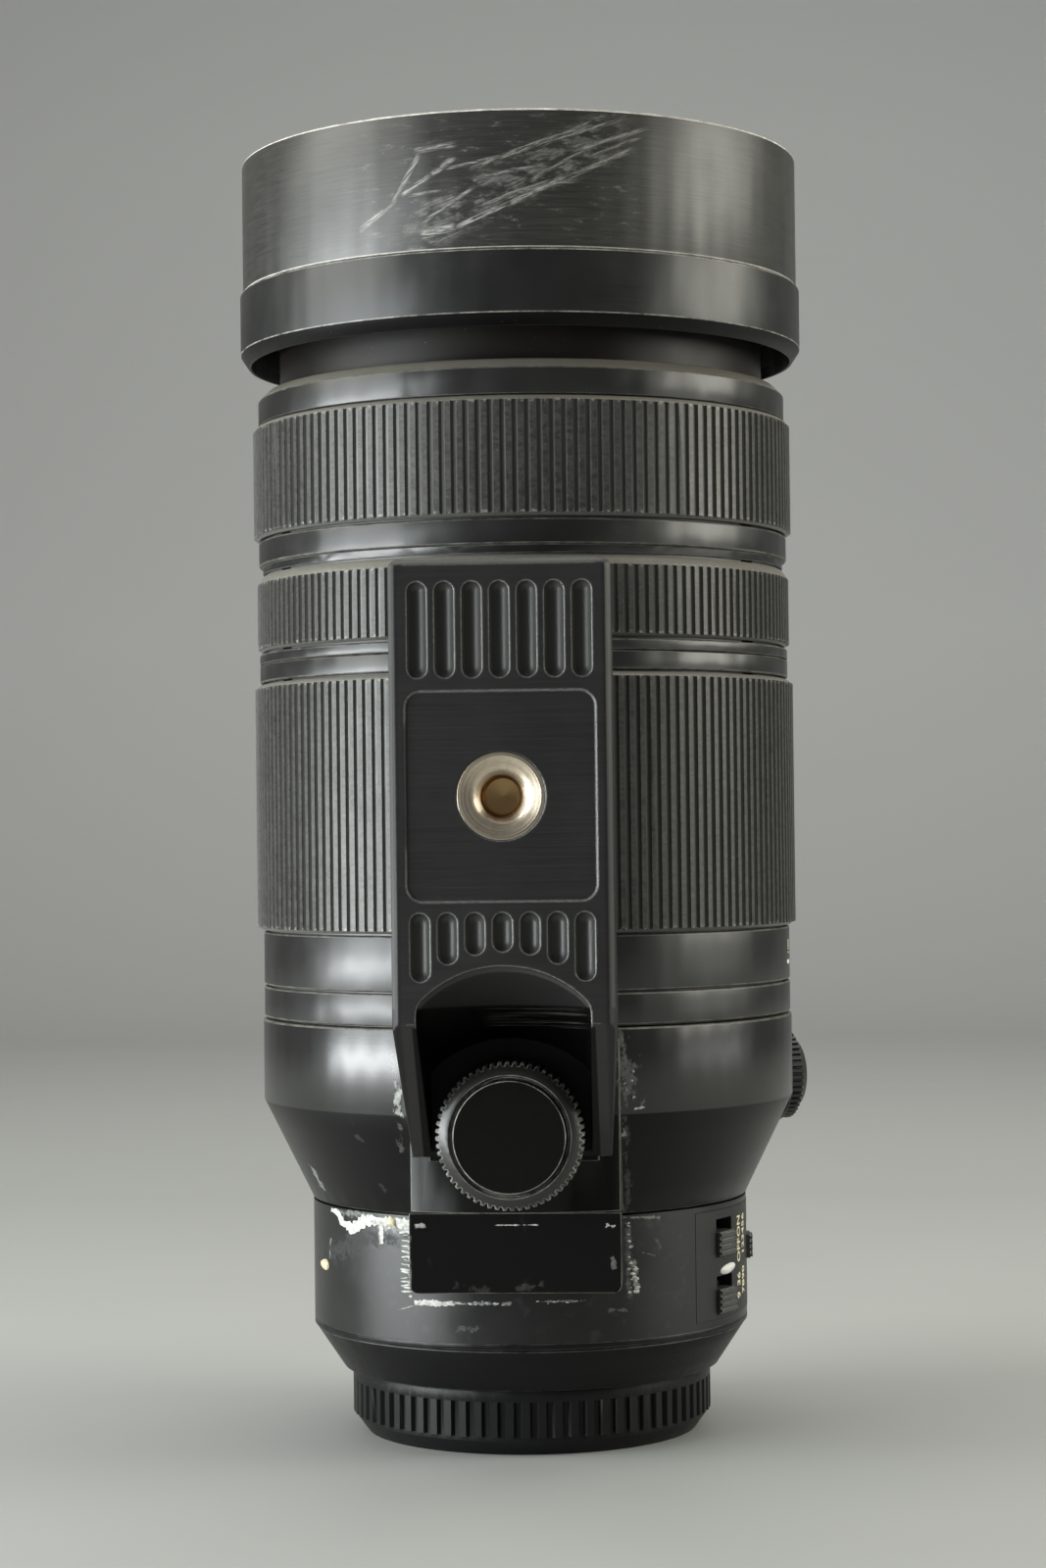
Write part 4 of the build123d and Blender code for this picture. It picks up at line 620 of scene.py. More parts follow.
def barrel_finish():
    """Rear barrel: satin dark paint, dusty by the foot block, with torn residue of old tape."""
    shade = (0.0055, 0.0058, 0.0056)
    f = Finish("rear_barrel_paint", shade, 0.34, 0.0, 0.42)
    turn, _, height = f.polar()
    x, y, _ = f.xyz()
    clouds = f.cloud(0.11, 4.0)
    torn = f.cloud(1.1, 5.0, 0.78)
    film = f.cloud(2.6, 4.0, 0.7)
    front = f.window(y, -8.0, -12.0)
    glue = f.times(ragged(f, x, height, torn, BARREL_RESIDUE), front, f.remap(film, 0.35, 0.65, 0.45, 1.0))
    dull = f.times(ragged(f, x, height, torn, BARREL_FILM), front)
    dust = f.times(f.window(f.cloud(0.5, 4.0), 0.56, 0.74), f.near(turn, 5, 40, 25), 0.08)
    base = f.blend(f.remap(clouds, 0.35, 0.7, 0.0, 0.5), shade, (0.015, 0.0155, 0.015))
    dusty = f.blend(dust, base, (0.16, 0.16, 0.15))
    filmed = f.blend(dull, dusty, (0.020, 0.023, 0.022))
    f.colour(f.blend(glue, filmed, RESIDUE))
    worn = f.times(f.most(glue, dull), 0.34)
    f.roughness(f.plus(f.spread(clouds, 0.28, 0.40), worn))
    f.bump(f.turning_lines(0.2), 0.01, 0.3)
    return f


# Radius of the foot knob's face inside its bevel
KNOB_FACE = 8.2


def knob_finish(name, face_shade):
    """Foot knob: dark face, and slightly rubbed teeth and rim."""
    f = Finish(name, face_shade, 0.40, 0.0, 0.5)
    _, away = f.about_y(FOOT_KNOB_HEIGHT)
    outer = (FOOT_KNOB_HIGH.x - FOOT_KNOB_LOW.x) / 2
    ragged_edge = f.cloud(1.1, 4.0, 0.7)
    teeth = f.times(f.window(away, outer - 0.5, outer - 0.1), f.window(ragged_edge, 0.40, 0.60))
    rim = f.times(f.near(away, KNOB_FACE, 0.10, 0.08), f.window(ragged_edge, 0.42, 0.60))
    bevel = f.window(away, KNOB_FACE + 0.2, KNOB_FACE + 0.5)
    f.shine(f.besides(bevel), 0.35)
    base = f.blend(bevel, face_shade, (0.020, 0.0195, 0.018))
    f.colour(f.blend(f.most(f.times(teeth, 0.6), f.times(rim, 0.6)), base, WORN_METAL))
    f.roughness(f.spread(ragged_edge, 0.28, 0.38))
    f.bump(f.noise(f.stretched(0.3, 0.3, 6.0), 1.0, 3.0), 0.01, 0.4)
    return f


def bush_finish():
    """Tripod bush: turned pale bronze, darker and browner in its hole."""
    f = Finish("bush_turned_metal", (0.72, 0.62, 0.48), 0.3, 1.0, 0.5)
    up, away = f.about_y(BUSH_HEIGHT)
    rings = f.noise(f.vector(f.times(f.xyz()[0], 0.05), f.times(up, 0.05), f.times(away, 14.0)), 1.0, 2.0)
    hole = f.window(away, BUSH_BORE + 0.7, BUSH_BORE + 0.1)
    stain = f.cloud(0.9, 4.0, 0.65)
    ring = f.blend(f.spread(rings, 0.0, 1.0), (0.55, 0.46, 0.35), (0.78, 0.70, 0.58))
    tarnished = f.blend(f.remap(stain, 0.4, 0.75, 0.0, 0.45), ring, (0.46, 0.33, 0.21))
    f.colour(f.blend(hole, tarnished, (0.30, 0.19, 0.09)))
    f.roughness(f.spread(rings, 0.24, 0.40))
    f.bump(rings, 0.012, 0.6)
    return f


def felt_finish():
    """Black flock."""
    f = Finish("black_flock", (0.008, 0.008, 0.008), 0.95, 0.0, 0.1)
    f.set("Sheen Weight", 0.35)
    f.set("Sheen Roughness", 0.5)
    fibres = f.cloud(5.0, 4.0, 0.7)
    f.colour(f.blend(fibres, (0.005, 0.005, 0.005), (0.018, 0.018, 0.018)))
    f.bump(fibres, 0.08, 0.8)
    return f


def glass_finish():
    """Coated lens glass with a faint green and magenta cast."""
    f = Finish("coated_glass", (0.96, 0.98, 0.97), 0.02, 0.0, 0.5)
    f.set("Transmission Weight", 1.0)
    f.set("IOR", 1.6)
    f.set("Thin Film Thickness", 320.0)
    f.set("Thin Film IOR", 1.38)
    faint = f.cloud(0.12, 3.0)
    f.roughness(f.spread(faint, 0.008, 0.035))
    return f


def printed(name, shade):
    """Paint printed on the metal, slightly uneven."""
    f = Finish(name, shade, 0.5, 0.0, 0.4)
    uneven = f.cloud(2.5, 4.0, 0.7)
    f.colour(f.blend(f.remap(uneven, 0.35, 0.7, 0.0, 0.35), shade, tuple(c * 0.7 for c in shade)))
    f.bump(uneven, 0.01, 0.4)
    return f


def board_finish():
    """Green board with paler tracks."""
    shade = (0.02, 0.11, 0.05)
    f = Finish("green_board", shade, 0.4, 0.0, 0.5)
    tracks = f.cloud(0.8, 2.0)
    f.colour(f.blend(f.window(tracks, 0.5, 0.53), shade, (0.05, 0.20, 0.08)))
    f.bump(tracks, 0.03, 0.5)
    return f


# ---- finishes on the CAD nodes ----

coat(scratched_hood(), "hood_front_band")
# Painted shade along the hood's rear bevel: a dull zone, darker and with dimmed reflection
coat(anodised("hood_rear_metal", (0.008, 0.0085, 0.008), 0.36, 0.5, 0.5,
              dull=((HOOD_REAR - 0.5, HOOD_REAR + HOOD_BEVEL),)), "hood_rear_band")
coat(anodised("band_metal"), "rear_band_ring", "index_ring", "mid_band", "focus_base_ring")
# The bezel's front chamfer: rubbed cream, partly a painted highlight
coat(anodised("bezel_metal", rubbed=((BEZEL_FRONT - 1.4, BEZEL_FRONT + 0.1),)), "front_bezel")
coat(ribbed_finish("zoom_grip", "zoom_ring", 0.6), "zoom_ring")
coat(ribbed_finish("lock_grip", "zoom_lock_ring", 1.3), "zoom_lock_ring")
coat(ribbed_finish("focus_grip", "focus_ring", 0.6), "focus_ring")
coat(anodised("inner_barrel_metal", (0.007, 0.006, 0.005), 0.42, 0.3, 0.22), "inner_barrel")
coat(anodised("inner_parts_metal", (0.10, 0.10, 0.10), 0.4, 0.5),
     "main_frame", "fixed_tube", "guide_tube", "cam_tube")
coat(moulded("cell_black", (0.012, 0.012, 0.012), 0.55, 0.3, 0.02, 0.35),
     "front_cell", "front_retainer", "hood_guide", "rear_lens_cell", "iris_housing", "stabiliser_frame",
     "stabiliser_cell", "focus_cell", "variator_cell", "focus_sensor", "focus_motor", "contact_block")
coat(felt_finish(), "hood_felt", "dust_seal")
coat(glass_finish(),
     "front_element", "second_element", "rear_lens", "stabiliser_lens", "focus_lens", "variator_lens")
coat(moulded("cap_plastic", (0.004, 0.0043, 0.0043), 0.42, 0.3, 0.02, 0.22), "rear_cap")
coat(moulded("skirt_plastic", (0.0035, 0.0037, 0.0037), 0.36, 0.4, 0.012, 0.22), "mount_skirt")
coat(moulded("switch_panel_plastic", (0.008, 0.008, 0.008), 0.45, 0.3, 0.02), "switch_plate")
coat(moulded("switch_plastic", (0.035, 0.035, 0.034), 0.42, 0.3, 0.015),
     "focus_switch", "limit_switch", "steady_switch")
coat(moulded("liner_plastic", (0.35, 0.35, 0.33), 0.5, 0.3, 0.02), "collar_liner")
coat(bare_metal("mount_steel", (0.62, 0.61, 0.59), 0.24), "bayonet_mount")
coat(bare_metal("screw_steel", (0.50, 0.49, 0.47), 0.3),
     "mount_screws", "guide_rods", "cam_followers", "variator_pins", "zoom_key", "foot_screw")
coat(bare_metal("gold_contacts", (0.85, 0.62, 0.28), 0.22), "contact_pins")
coat(bare_metal("iris_steel", (0.10, 0.10, 0.10), 0.4), "iris_blades", "iris_ring", "focus_magnet_ring")
coat(board_finish(), "circuit_board")
coat(foot_finish(), "foot")
coat(collar_finish(), "collar")
coat(barrel_finish(), "rear_barrel")
coat(bush_finish(), "tripod_bush")
coat(knob_finish("foot_knob_metal", (0.0035, 0.0033, 0.0028)), "foot_knob")
coat(anodised("lock_knob_metal", (0.010, 0.010, 0.0095), 0.4, 0.3), "collar_lock_knob")


# ---- soft edges ----

# Nodes whose small edges would otherwise hold back the rounding of their long ones
UNCLAMPED = ("foot_knob", "collar")
# Distance at which points are merged, and angle from which an edge is rounded
WELD = 0.001
HARD_EDGE_DEGREES = 32


def soften(width, steps, edge, *names):
    """Rounds the hard edges of CAD nodes in the picture, and gives them a pale edge finish: rubbed metal and
    painted highlight.
    """
    for name in names:
        weld = nodes[name].modifiers.new("weld", "WELD")
        weld.merge_threshold = WELD * MM
        bevel = nodes[name].modifiers.new("bevel", "BEVEL")
        bevel.width = width * MM
        bevel.segments = steps
        bevel.limit_method = "ANGLE"
        bevel.angle_limit = math.radians(HARD_EDGE_DEGREES)
        bevel.harden_normals = True
        bevel.use_clamp_overlap = name not in UNCLAMPED
        if edge:
            nodes[name].data.materials.append(edge.material)
            bevel.material = 1


# Pale colour of the bevels: rubbed metal, and a painted highlight along the edges
EDGE_WEAR_AND_HIGHLIGHT = (0.16, 0.155, 0.135)
band_edge = edge_wear_and_highlight("band_edge", BLACK_ANODISED, EDGE_WEAR_AND_HIGHLIGHT, 0.1, 0.7)
knob_edge = edge_wear_and_highlight("knob_edge", (0.02, 0.02, 0.019), (0.42, 0.41, 0.37), 0.05, 0.75, 0.36)
# The hood's bevels are near white: worn metal and a painted glint on the rim and step
hood_edge = edge_wear_and_highlight("hood_edge", (0.05, 0.05, 0.045), (0.78, 0.75, 0.68), 0.35, 1.0)
# The hood's rear edge: pale above, painted shade below its lower part
hood_rear_edge = edge_wear_and_highlight("hood_rear_edge", (0.010, 0.010, 0.010), (0.30, 0.29, 0.26), 0.05, 0.9,
                             painted_shade_below=HOOD_REAR + HOOD_BEVEL - 0.6)
plastic_edge = edge_wear_and_highlight("plastic_edge", (0.008, 0.008, 0.008), (0.10, 0.10, 0.095), 0.0, 0.7)
switch_edge = edge_wear_and_highlight("switch_edge", (0.03, 0.03, 0.03), (0.30, 0.30, 0.28), 0.2, 0.9)
soften(0.16, 2, None, "zoom_ring", "zoom_lock_ring", "focus_ring")
soften(0.12, 2, knob_edge, "foot_knob")
soften(0.15, 2, hood_edge, "hood_front_band")
soften(0.12, 2, band_edge, "rear_band_ring", "index_ring", "mid_band", "focus_base_ring", "front_bezel",
       "collar", "collar_lock_knob")
soften(0.10, 2, hood_rear_edge, "hood_rear_band")
soften(0.10, 2, plastic_edge, "mount_skirt", "rear_cap")
soften(0.07, 2, switch_edge, "focus_switch", "limit_switch", "steady_switch")
soften(0.08, 2, None, "tripod_bush")


# ---- small pieces on the CAD nodes ----

def add_piece(name, mesh, body, finish, smooth=False):
    """Turns a built mesh into a piece that moves with a body."""
    bmesh.ops.recalc_face_normals(mesh, faces=mesh.faces)
    data = bpy.data.meshes.new(name)
    mesh.to_mesh(data)
    mesh.free()
    for face in data.polygons:
        face.use_smooth = smooth
    piece = new_object(name, data)
    data.materials.append(finish.material)
    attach(piece, body)


def join_rings(mesh, rings):
    """Closed bar through rings of four corners."""
    for near, far in zip(rings, rings[1:]):
        for here in range(4):
            there = (here + 1) % 4
            mesh.faces.new((near[here], near[there], far[there], far[here]))
    mesh.faces.new(rings[0])
    mesh.faces.new(list(reversed(rings[-1])))


def on_wall(radius, azimuth, height):
    """Point on a round wall about the optical axis, in metres as meshes have it."""
    turn = math.radians(azimuth)
    return Vector((radius * math.sin(turn), -radius * math.cos(turn), height)) * MM


def oval(radius, azimuth, height, half_along, half_up, steps=12, tilt=0.0, uneven=0.0, dice=None):
    """Outline of an oval on a round wall as (azimuth, height) points."""
    cos, sin = math.cos(math.radians(tilt)), math.sin(math.radians(tilt))
    points = []
    for step in range(steps):
        turn = 2 * math.pi * step / steps
        size = 1 + (dice.uniform(-uneven, uneven) if dice else 0)
        u, v = half_along * math.cos(turn) * size, half_up * math.sin(turn) * size
        points.append((azimuth + math.degrees((u * cos - v * sin) / radius), height + u * sin + v * cos))
    return points


# How far added pieces sink into the wall that carries them, and the length of one step of a strip
SINK = 0.05
STRIP_STEP = 0.28


def add_plate(mesh, radius, outline, rise, crown=0.0):
    """Closed thin plate with the given outline, sunk a little into a round wall."""
    azimuth = sum(point[0] for point in outline) / len(outline)
    height = sum(point[1] for point in outline) / len(outline)
    under = [mesh.verts.new(on_wall(radius - SINK, *point)) for point in outline]
    over = [mesh.verts.new(on_wall(radius + rise, *point)) for point in outline]
    bottom = mesh.verts.new(on_wall(radius - SINK, azimuth, height))
    top = mesh.verts.new(on_wall(radius + rise + crown, azimuth, height))
    for here in range(len(outline)):
        there = (here + 1) % len(outline)
        mesh.faces.new((under[here], under[there], over[there], over[here]))
        mesh.faces.new((over[here], over[there], top))
        mesh.faces.new((under[there], under[here], bottom))


def add_crumbs(mesh, radius, trails, dice):
    """Torn flakes strewn along trails."""
    for start, end, count, small, large, flat in trails:
        for index in range(count):
            share = (index + dice.random()) / count
            size = dice.uniform(small, large)
            x = start[0] + (end[0] - start[0]) * share + dice.gauss(0, 0.16)
            height = start[1] + (end[1] - start[1]) * share + dice.gauss(0, 0.16)
            outline = oval(radius, math.degrees(math.asin(x / radius)), height, size, size * flat, 9,
                           dice.uniform(-9, 9), 0.3, dice)
            add_plate(mesh, radius, outline, dice.uniform(0.05, 0.16), dice.uniform(0.02, 0.14))


def add_strip(mesh, radius, path, dice):
    """Torn strip of film along a path on a round wall."""
    stations = []
    for (x0, z0, half0), (x1, z1, half1) in zip(path, path[1:]):
        pieces = max(2, round(math.hypot(x1 - x0, z1 - z0) / STRIP_STEP))
        for piece in range(pieces):
            share = piece / pieces
            stations.append((x0 + (x1 - x0) * share, z0 + (z1 - z0) * share, half0 + (half1 - half0) * share))
    stations.append(path[-1])
    rings = []
    for index, (x, z, half) in enumerate(stations):
        before, after = stations[max(index - 1, 0)], stations[min(index + 1, len(stations) - 1)]
        along = Vector((after[0] - before[0], after[1] - before[1])).normalized()
        sides = [half * dice.uniform(0.6, 1.25), -half * dice.uniform(0.6, 1.25)]
        spots = [(math.degrees(math.asin((x - along.y * side) / radius)), z + along.x * side) for side in sides]
        lift = dice.uniform(0.03, 0.09)
        corners = ((-SINK, spots[0]), (lift, spots[0]), (lift, spots[1]), (-SINK, spots[1]))
        rings.append([mesh.verts.new(on_wall(radius + out, *spot)) for out, spot in corners])
    join_rings(mesh, rings)


def add_ridges(name, body, finish, centre, axis, bore, ridge, pitch, length):
    """Screw thread: a helical ridge on the inside of a bore, closed at both ends."""
    mesh = bmesh.new()
    steps = 40
    turns = length / pitch
    across = axis.orthogonal().normalized()
    beside = axis.cross(across)
    rings = []
    for step in range(int(turns * steps) + 1):
        turn = 2 * math.pi * step / steps
        outward = across * math.cos(turn) + beside * math.sin(turn)
        along = pitch * step / steps
        corners = ((bore + 0.04, along), (bore - ridge, along + pitch * 0.38),
                   (bore - ridge, along + pitch * 0.50), (bore + 0.04, along + pitch * 0.88))
        rings.append([mesh.verts.new((centre + outward * away + axis * up) * MM) for away, up in corners])
    join_rings(mesh, rings)
    add_piece(name, mesh, body, finish)


def add_text(name, words, azimuth, height, size, radius, finish, body):
    """Raised paint of plain numbers or ON and OFF that runs up a round wall."""
    curve = bpy.data.curves.new(name, "FONT")
    curve.body = words
    curve.size = size
    curve.extrude = 0.02
    curve.offset = 0.03
    curve.resolution_u = 3
    curve.align_x = "CENTER"
    curve.align_y = "CENTER"
    source = bpy.data.objects.new(name, curve)
    data = bpy.data.meshes.new_from_object(source)
    bpy.data.objects.remove(source)
    mesh = bmesh.new()
    mesh.from_mesh(data)
    bpy.data.meshes.remove(data)
    bmesh.ops.remove_doubles(mesh, verts=mesh.verts, dist=0.0005)
    for vert in mesh.verts:
        right, up, out = vert.co
        vert.co = on_wall(radius + 0.03 + out, azimuth - math.degrees(up / radius), height + right)
    add_piece(name, mesh, body, finish)


# Crumbs of residue: start and end as (x, z), how many, smallest and largest half width, and flatness
BARREL_CRUMBS = (
    ((-16.7, 34.2), (-16.6, 23.7), 17, 0.45, 1.15, 0.16),
    ((-16.1, 34.2), (-16.1, 23.7), 20, 0.15, 0.35, 0.50),
    ((-15.0, 23.1), (-9.6, 23.1), 14, 0.20, 0.60, 0.45),
    ((-9.4, 23.2), (-1.4, 23.2), 10, 0.12, 0.40, 0.45),
    ((2.8, 23.6), (9.2, 23.5), 7, 0.12, 0.35, 0.40),
    ((-22.4, 34.2), (-16.8, 33.6), 9, 0.20, 0.50, 0.50),
    ((15.9, 34.6), (16.0, 24.0), 14, 0.12, 0.40, 0.50),
    ((16.6, 28.2), (16.9, 24.4), 8, 0.20, 0.55, 0.50),
)
COLLAR_CRUMBS = (
    ((15.6, 61.0), (15.8, 52.6), 4, 0.10, 0.20, 0.60),
    ((16.6, 57.6), (17.1, 53.0), 3, 0.12, 0.26, 0.70),
)
# Torn strips of tape: paths of (x, z, half width)
BARREL_STRIPS = (
    ((-28.9, 35.0, 0.30), (-27.7, 34.8, 0.45), (-26.9, 33.5, 0.50), (-24.9, 32.7, 0.85), (-23.1, 34.2, 0.85),
     (-20.5, 34.5, 0.62), (-18.0, 34.5, 0.72), (-16.0, 34.3, 0.85)),
    ((-20.5, 34.2, 0.40), (-20.4, 31.1, 0.30)),
    ((-15.4, 23.0, 0.30), (-12.6, 23.1, 0.48), (-11.0, 23.0, 0.30), (-9.6, 23.2, 0.34)),
)
# Lumps of old glue: x, z, half width and half height
LUMPS = ((-18.7, 34.5, 0.85, 0.7225), (-30.2, 26.4, 1.9, 0.85))
# Printed marks by the switches: words, azimuth, height. Numbers of the zoom scale: words, azimuth
SWITCH_WORDS = (("ON", 73.6, 31.4), ("OFF", 73.6, 27.8), ("36", 73.6, 23.4), ("9", 73.6, 21.0),
                ("123456", 78.2, 29.9), ("7890", 78.2, 23.0), ("ON", 98.0, 29.6), ("OFF", 98.0, 25.9))
ZOOM_NUMBERS = (("100", 82.0), ("200", 112.0), ("300", 142.0), ("400", 172.0))
# Sizes of both prints, and how far the zoom scale's numbers and bars are from its ring's rear
SWITCH_PRINT, ZOOM_PRINT = 2.1, 1.6
NUMBER_RISE, BAR_RISE = 4.9, 2.7
# White mounting dot: azimuth, height, half lengths along the wall and up, steps and tilt
WHITE_DOT = (65.6, 25.6, 2.7, 0.72, 20, 4.0)


def residue_finish(name, shade):
    """Dull dried residue."""
    f = Finish(name, shade, 0.7, 0.0, 0.35)
    stain = f.cloud(1.2, 4.0, 0.7)
    f.colour(f.blend(f.remap(stain, 0.35, 0.65, 0.0, 1.0), tuple(c * 0.55 for c in shade), shade))
    f.roughness(f.spread(stain, 0.55, 0.8))
    f.bump(stain, 0.05, 0.6)
    return f


def add_residue():
    """Crumbs of tape residue beside the foot's block, and two lumps of old glue."""
    dice = random.Random(7)
    pale = residue_finish("pale_residue", (0.62, 0.63, 0.59))
    barrel, collar = bmesh.new(), bmesh.new()
    add_crumbs(barrel, BARREL_RADIUS, BARREL_CRUMBS, dice)
    add_crumbs(collar, COLLAR_RADIUS, COLLAR_CRUMBS, dice)
    for path in BARREL_STRIPS:
        add_strip(barrel, BARREL_RADIUS, path, dice)
    add_piece("residue_on_barrel", barrel, "lens_body", pale)
    add_piece("residue_on_collar", collar, "collar", residue_finish("grey_residue", (0.40, 0.41, 0.38)))
    lumps = bmesh.new()
    for x, height, half_width, half_height in LUMPS:
        azimuth = math.degrees(math.asin(x / BARREL_RADIUS))
        outline = oval(BARREL_RADIUS, azimuth, height, half_width, half_height, 11, 0.0, 0.2, dice)
        add_plate(lumps, BARREL_RADIUS, outline, 0.12, 0.45)
    add_piece("glue_lumps", lumps, "lens_body", residue_finish("yellowed_glue", (0.72, 0.64, 0.44)), True)


def add_marks():
    """White mounting dot, and plain printed numbers by the switches and on the index ring."""
    gold = printed("pale_gold_print", (0.86, 0.79, 0.55))
    white = printed("white_dot_paint", (0.86, 0.86, 0.82))
    wall = BARREL_RADIUS + 0.05
    for number, (words, azimuth, height) in enumerate(SWITCH_WORDS):
        add_text("switch_print_%d" % number, words, azimuth, height, SWITCH_PRINT, wall, gold, "lens_body")
    dot = bmesh.new()
    add_plate(dot, wall, oval(wall, *WHITE_DOT), 0.06, 0.16)
    add_piece("white_mounting_dot", dot, "lens_body", white, True)
    ring, low = reach("index_ring"), span("index_ring")[0]
    for number, (words, azimuth) in enumerate(ZOOM_NUMBERS):
        add_text("index_number_%d" % number, words, azimuth, low + NUMBER_RISE, ZOOM_PRINT,
                 ring, gold, "lens_body")
        bar = bmesh.new()
        add_plate(bar, ring, oval(ring, azimuth, low + BAR_RISE, 1.3, 0.34, 12), 0.04)
        add_piece("index_bar_%d" % number, bar, "lens_body", white)


def add_bush_floor(rear, outward, finish):
    """Coned floor of the bush's hole."""
    mesh = bmesh.new()
    steps = 32
    turns = [2 * math.pi * step / steps for step in range(steps)]
    wall = [Vector((math.cos(turn), 0, math.sin(turn))) * (BUSH_BORE + 0.02) for turn in turns]
    under, over = ([mesh.verts.new((rear + outward * rise + spot) * MM) for spot in wall]
                   for rise in (0.02, 0.5))
    tip = mesh.verts.new((rear + outward * 0.1) * MM)
    for here in range(steps):
        there = (here + 1) % steps
        mesh.faces.new((under[here], under[there], over[there], over[here]))
        mesh.faces.new((over[here], over[there], tip))
    mesh.faces.new(under)
    add_piece("bush_floor", mesh, "foot", finish)


def add_threads():
    """Thread and floor of the tripod bush, and the filter thread."""
    bronze = bare_metal("bronze_thread", (0.62, 0.42, 0.20), 0.34, BUSH_HEIGHT)
    depth = BUSH_HIGH.y - BUSH_LOW.y
    rear = Vector((0, BUSH_HIGH.y, BUSH_HEIGHT))
    outward = Vector((0, -1, 0))
    add_ridges("bush_thread", "foot", bronze, rear + outward * 0.3, outward,
               bore=BUSH_BORE, ridge=0.14, pitch=BUSH_PITCH, length=depth - 2.6)
    add_bush_floor(rear, outward, bronze)
    black = anodised("filter_thread_metal", (0.012, 0.012, 0.012), 0.35)
    front = span("front_cell")[1]
    add_ridges("filter_thread", "front_barrel", black, Vector((0, 0, front - 3.2)), Vector((0, 0, 1)),
               bore=FILTER_BORE, ridge=0.22, pitch=FILTER_PITCH, length=2.6)


add_residue()
add_marks()
add_threads()


# ---- stage, lights and camera ----

# The camera as fitted to the photograph, which is 1067 by 1600 pixels. Angles are in degrees
FOCAL_LENGTH_MM = 72.86
SENSOR_MM = 36.0
CAMERA_DISTANCE = 0.4917
CAMERA_HEIGHT = 0.0915
CAMERA_AZIMUTH = 3.07
CAMERA_PITCH = 0.838
CAMERA_ROLL = 0.656
CAMERA_YAW = -0.038


def add_camera():
    """Camera that looks along the horizon at the foot's side."""
    yaw, pitch, roll = (math.radians(v) for v in (CAMERA_YAW, CAMERA_PITCH, CAMERA_ROLL))
    ahead = Vector((math.sin(yaw), math.cos(yaw), 0))
    right = Vector((math.cos(yaw), -math.sin(yaw), 0))
    forward = ahead * math.cos(pitch) + Vector((0, 0, 1)) * math.sin(pitch)
    up = right.cross(forward)
    rolled_right = right * math.cos(roll) - up * math.sin(roll)
    rolled_up = right * math.sin(roll) + up * math.cos(roll)
    axes = Matrix((rolled_right, rolled_up, -forward)).transposed().to_4x4()
    place = Matrix.Translation((0, -CAMERA_DISTANCE, CAMERA_HEIGHT))
    data = bpy.data.cameras.new("camera")
    data.lens = FOCAL_LENGTH_MM
    data.sensor_width = SENSOR_MM
    data.clip_start = 0.01
    camera = new_object("camera", data)
    camera.matrix_world = Matrix.Rotation(math.radians(CAMERA_AZIMUTH), 4, "Z") @ place @ axes
    bpy.context.scene.camera = camera


# Softboxes: name, azimuth, distance, lowest and highest edge, width, radiance, colour
SOFTBOXES = (
    ("left_low_softbox", -64, 0.45, 0.002, 0.068, 0.36, 26.0, (0.95, 0.99, 1.0)),
    ("left_middle_softbox", -62, 0.47, 0.075, 0.25, 0.42, 6.4, (0.93, 0.99, 1.0)),
    ("left_high_softbox", -75, 0.50, 0.26, 0.56, 0.38, 5.2, (1.0, 1.0, 0.93)),
    ("right_low_softbox", 84, 0.50, 0.002, 0.08, 0.34, 2.2, (1.0, 0.99, 0.95)),
    ("right_high_softbox", 84, 0.52, 0.14, 0.48, 0.34, 7.0, (1.0, 0.99, 0.88)),
)


def add_area_light(name, place, width, height, radiance, colour, facing):
    """Area light of an even radiance that faces a direction."""
    data = bpy.data.lights.new(name, "AREA")
    data.shape = "RECTANGLE"
    data.size, data.size_y = width, height
    data.energy = radiance * math.pi * width * height
    data.color = colour
    light = new_object(name, data)
    light.location = place
    light.rotation_euler = Vector(facing).to_track_quat("-Z", "Y").to_euler()


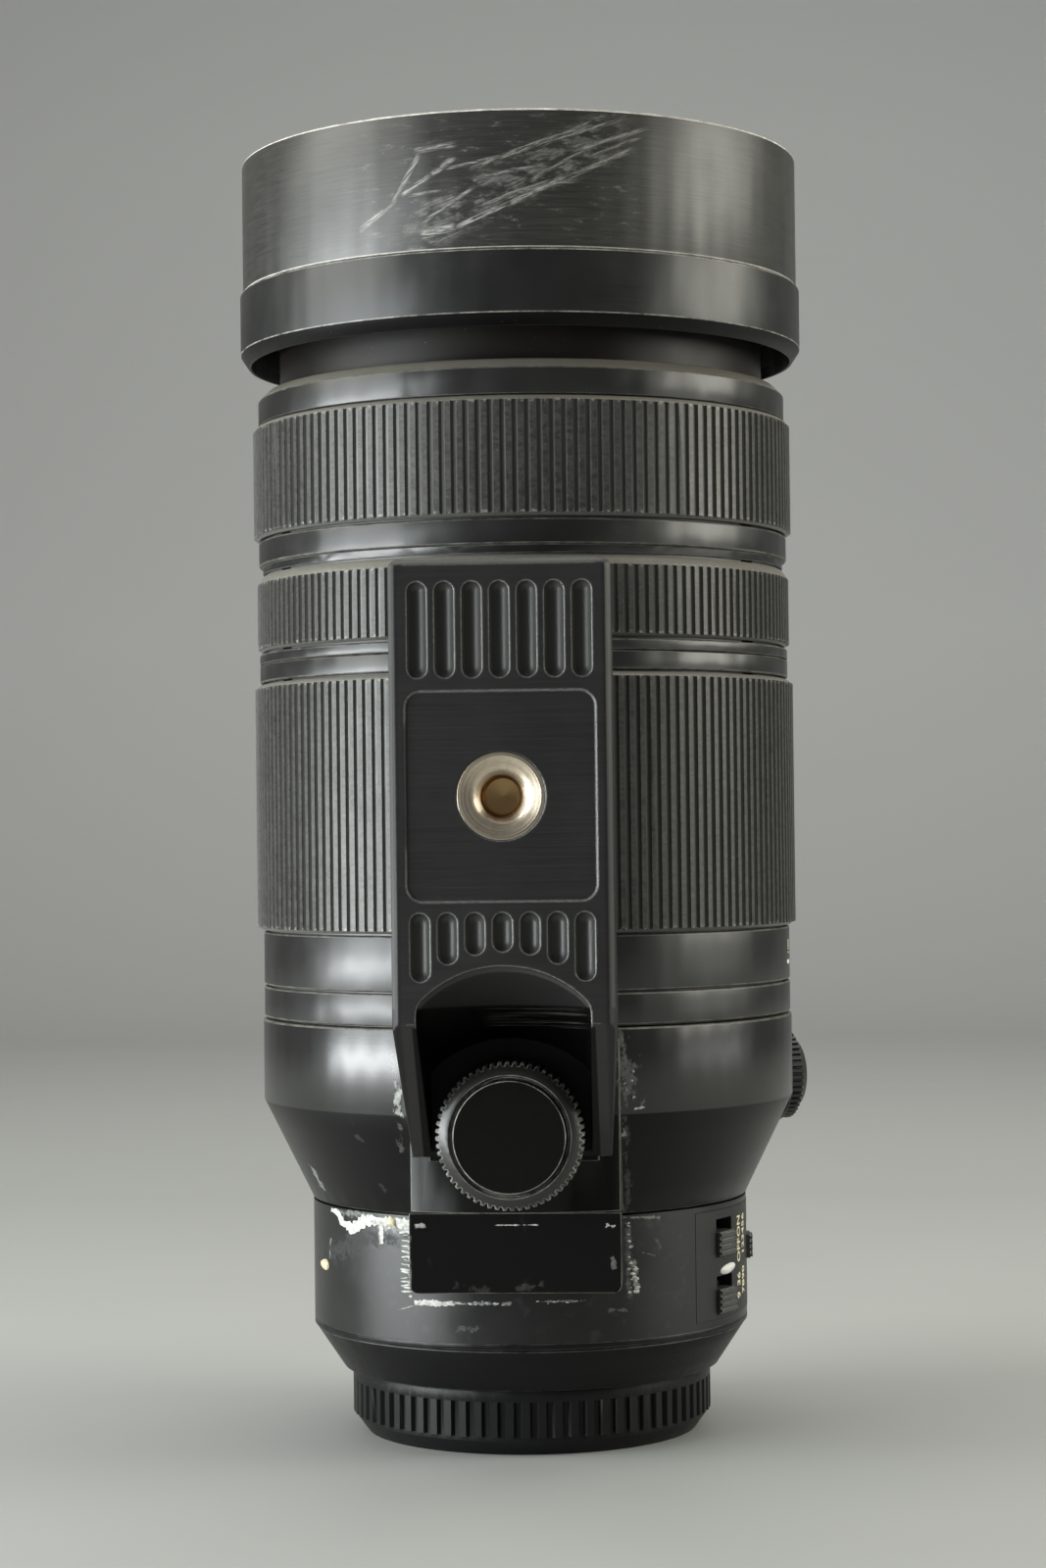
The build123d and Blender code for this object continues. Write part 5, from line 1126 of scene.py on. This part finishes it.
def add_lights():
    """Softboxes round the lens, and one above and behind, which the bevels that face up reflect."""
    for name, azimuth, distance, low, high, width, radiance, colour in SOFTBOXES:
        turn = math.radians(azimuth)
        inward = (-math.sin(turn), math.cos(turn), 0)
        place = (-distance * inward[0], -distance * inward[1], (low + high) / 2)
        add_area_light(name, place, width, high - low, radiance, colour, inward)
    add_area_light("ceiling_softbox", place=(0, 0.15, 0.75), width=1.0, height=0.6, radiance=2.6,
                   colour=(1.0, 0.98, 0.92), facing=(0, 0, -1))


# Colours of the floor, the backdrop and the light from all sides
FLOOR_SHADE = (0.37, 0.38, 0.37)
BACKDROP_SHADE = (0.80, 0.81, 0.80)
WORLD_LIGHT = (0.14, 0.14, 0.14, 1)


def add_stage():
    """Pale floor that curves up into a backdrop."""
    half, front, depth, bend, wall = 3.0, -2.0, 0.9, 0.5, 2.4
    profile = [(front, 0.0), (depth, 0.0)]
    steps = 16
    for step in range(1, steps + 1):
        turn = math.pi / 2 * step / steps
        profile.append((depth + bend * math.sin(turn), bend * (1 - math.cos(turn))))
    profile.append((depth + bend, wall))
    mesh = bmesh.new()
    rows = [[mesh.verts.new((x, y, z)) for x in (-half, half)] for y, z in profile]
    for near, far in zip(rows, rows[1:]):
        mesh.faces.new((near[0], near[1], far[1], far[0]))
    data = bpy.data.meshes.new("floor")
    mesh.to_mesh(data)
    mesh.free()
    for face in data.polygons:
        face.use_smooth = True
    floor = new_object("floor", data)
    f = Finish("pale_floor", FLOOR_SHADE, 0.55, 0.0, 0.3)
    _, y, z = f.xyz()
    f.colour(f.blend(f.remap(f.plus(y, z), 300.0, 1500.0, 0.0, 1.0), FLOOR_SHADE, BACKDROP_SHADE))
    f.roughness(f.spread(f.cloud(0.02, 3.0), 0.5, 0.62))
    data.materials.append(f.material)


def add_world():
    """Even dim light from all sides."""
    world = bpy.data.worlds.new("studio")
    world.use_nodes = True
    world.node_tree.nodes["Background"].inputs["Color"].default_value = WORLD_LIGHT
    bpy.context.scene.world = world


add_camera()
add_stage()
add_world()
add_lights()
bpy.context.scene.view_settings.view_transform = "Standard"
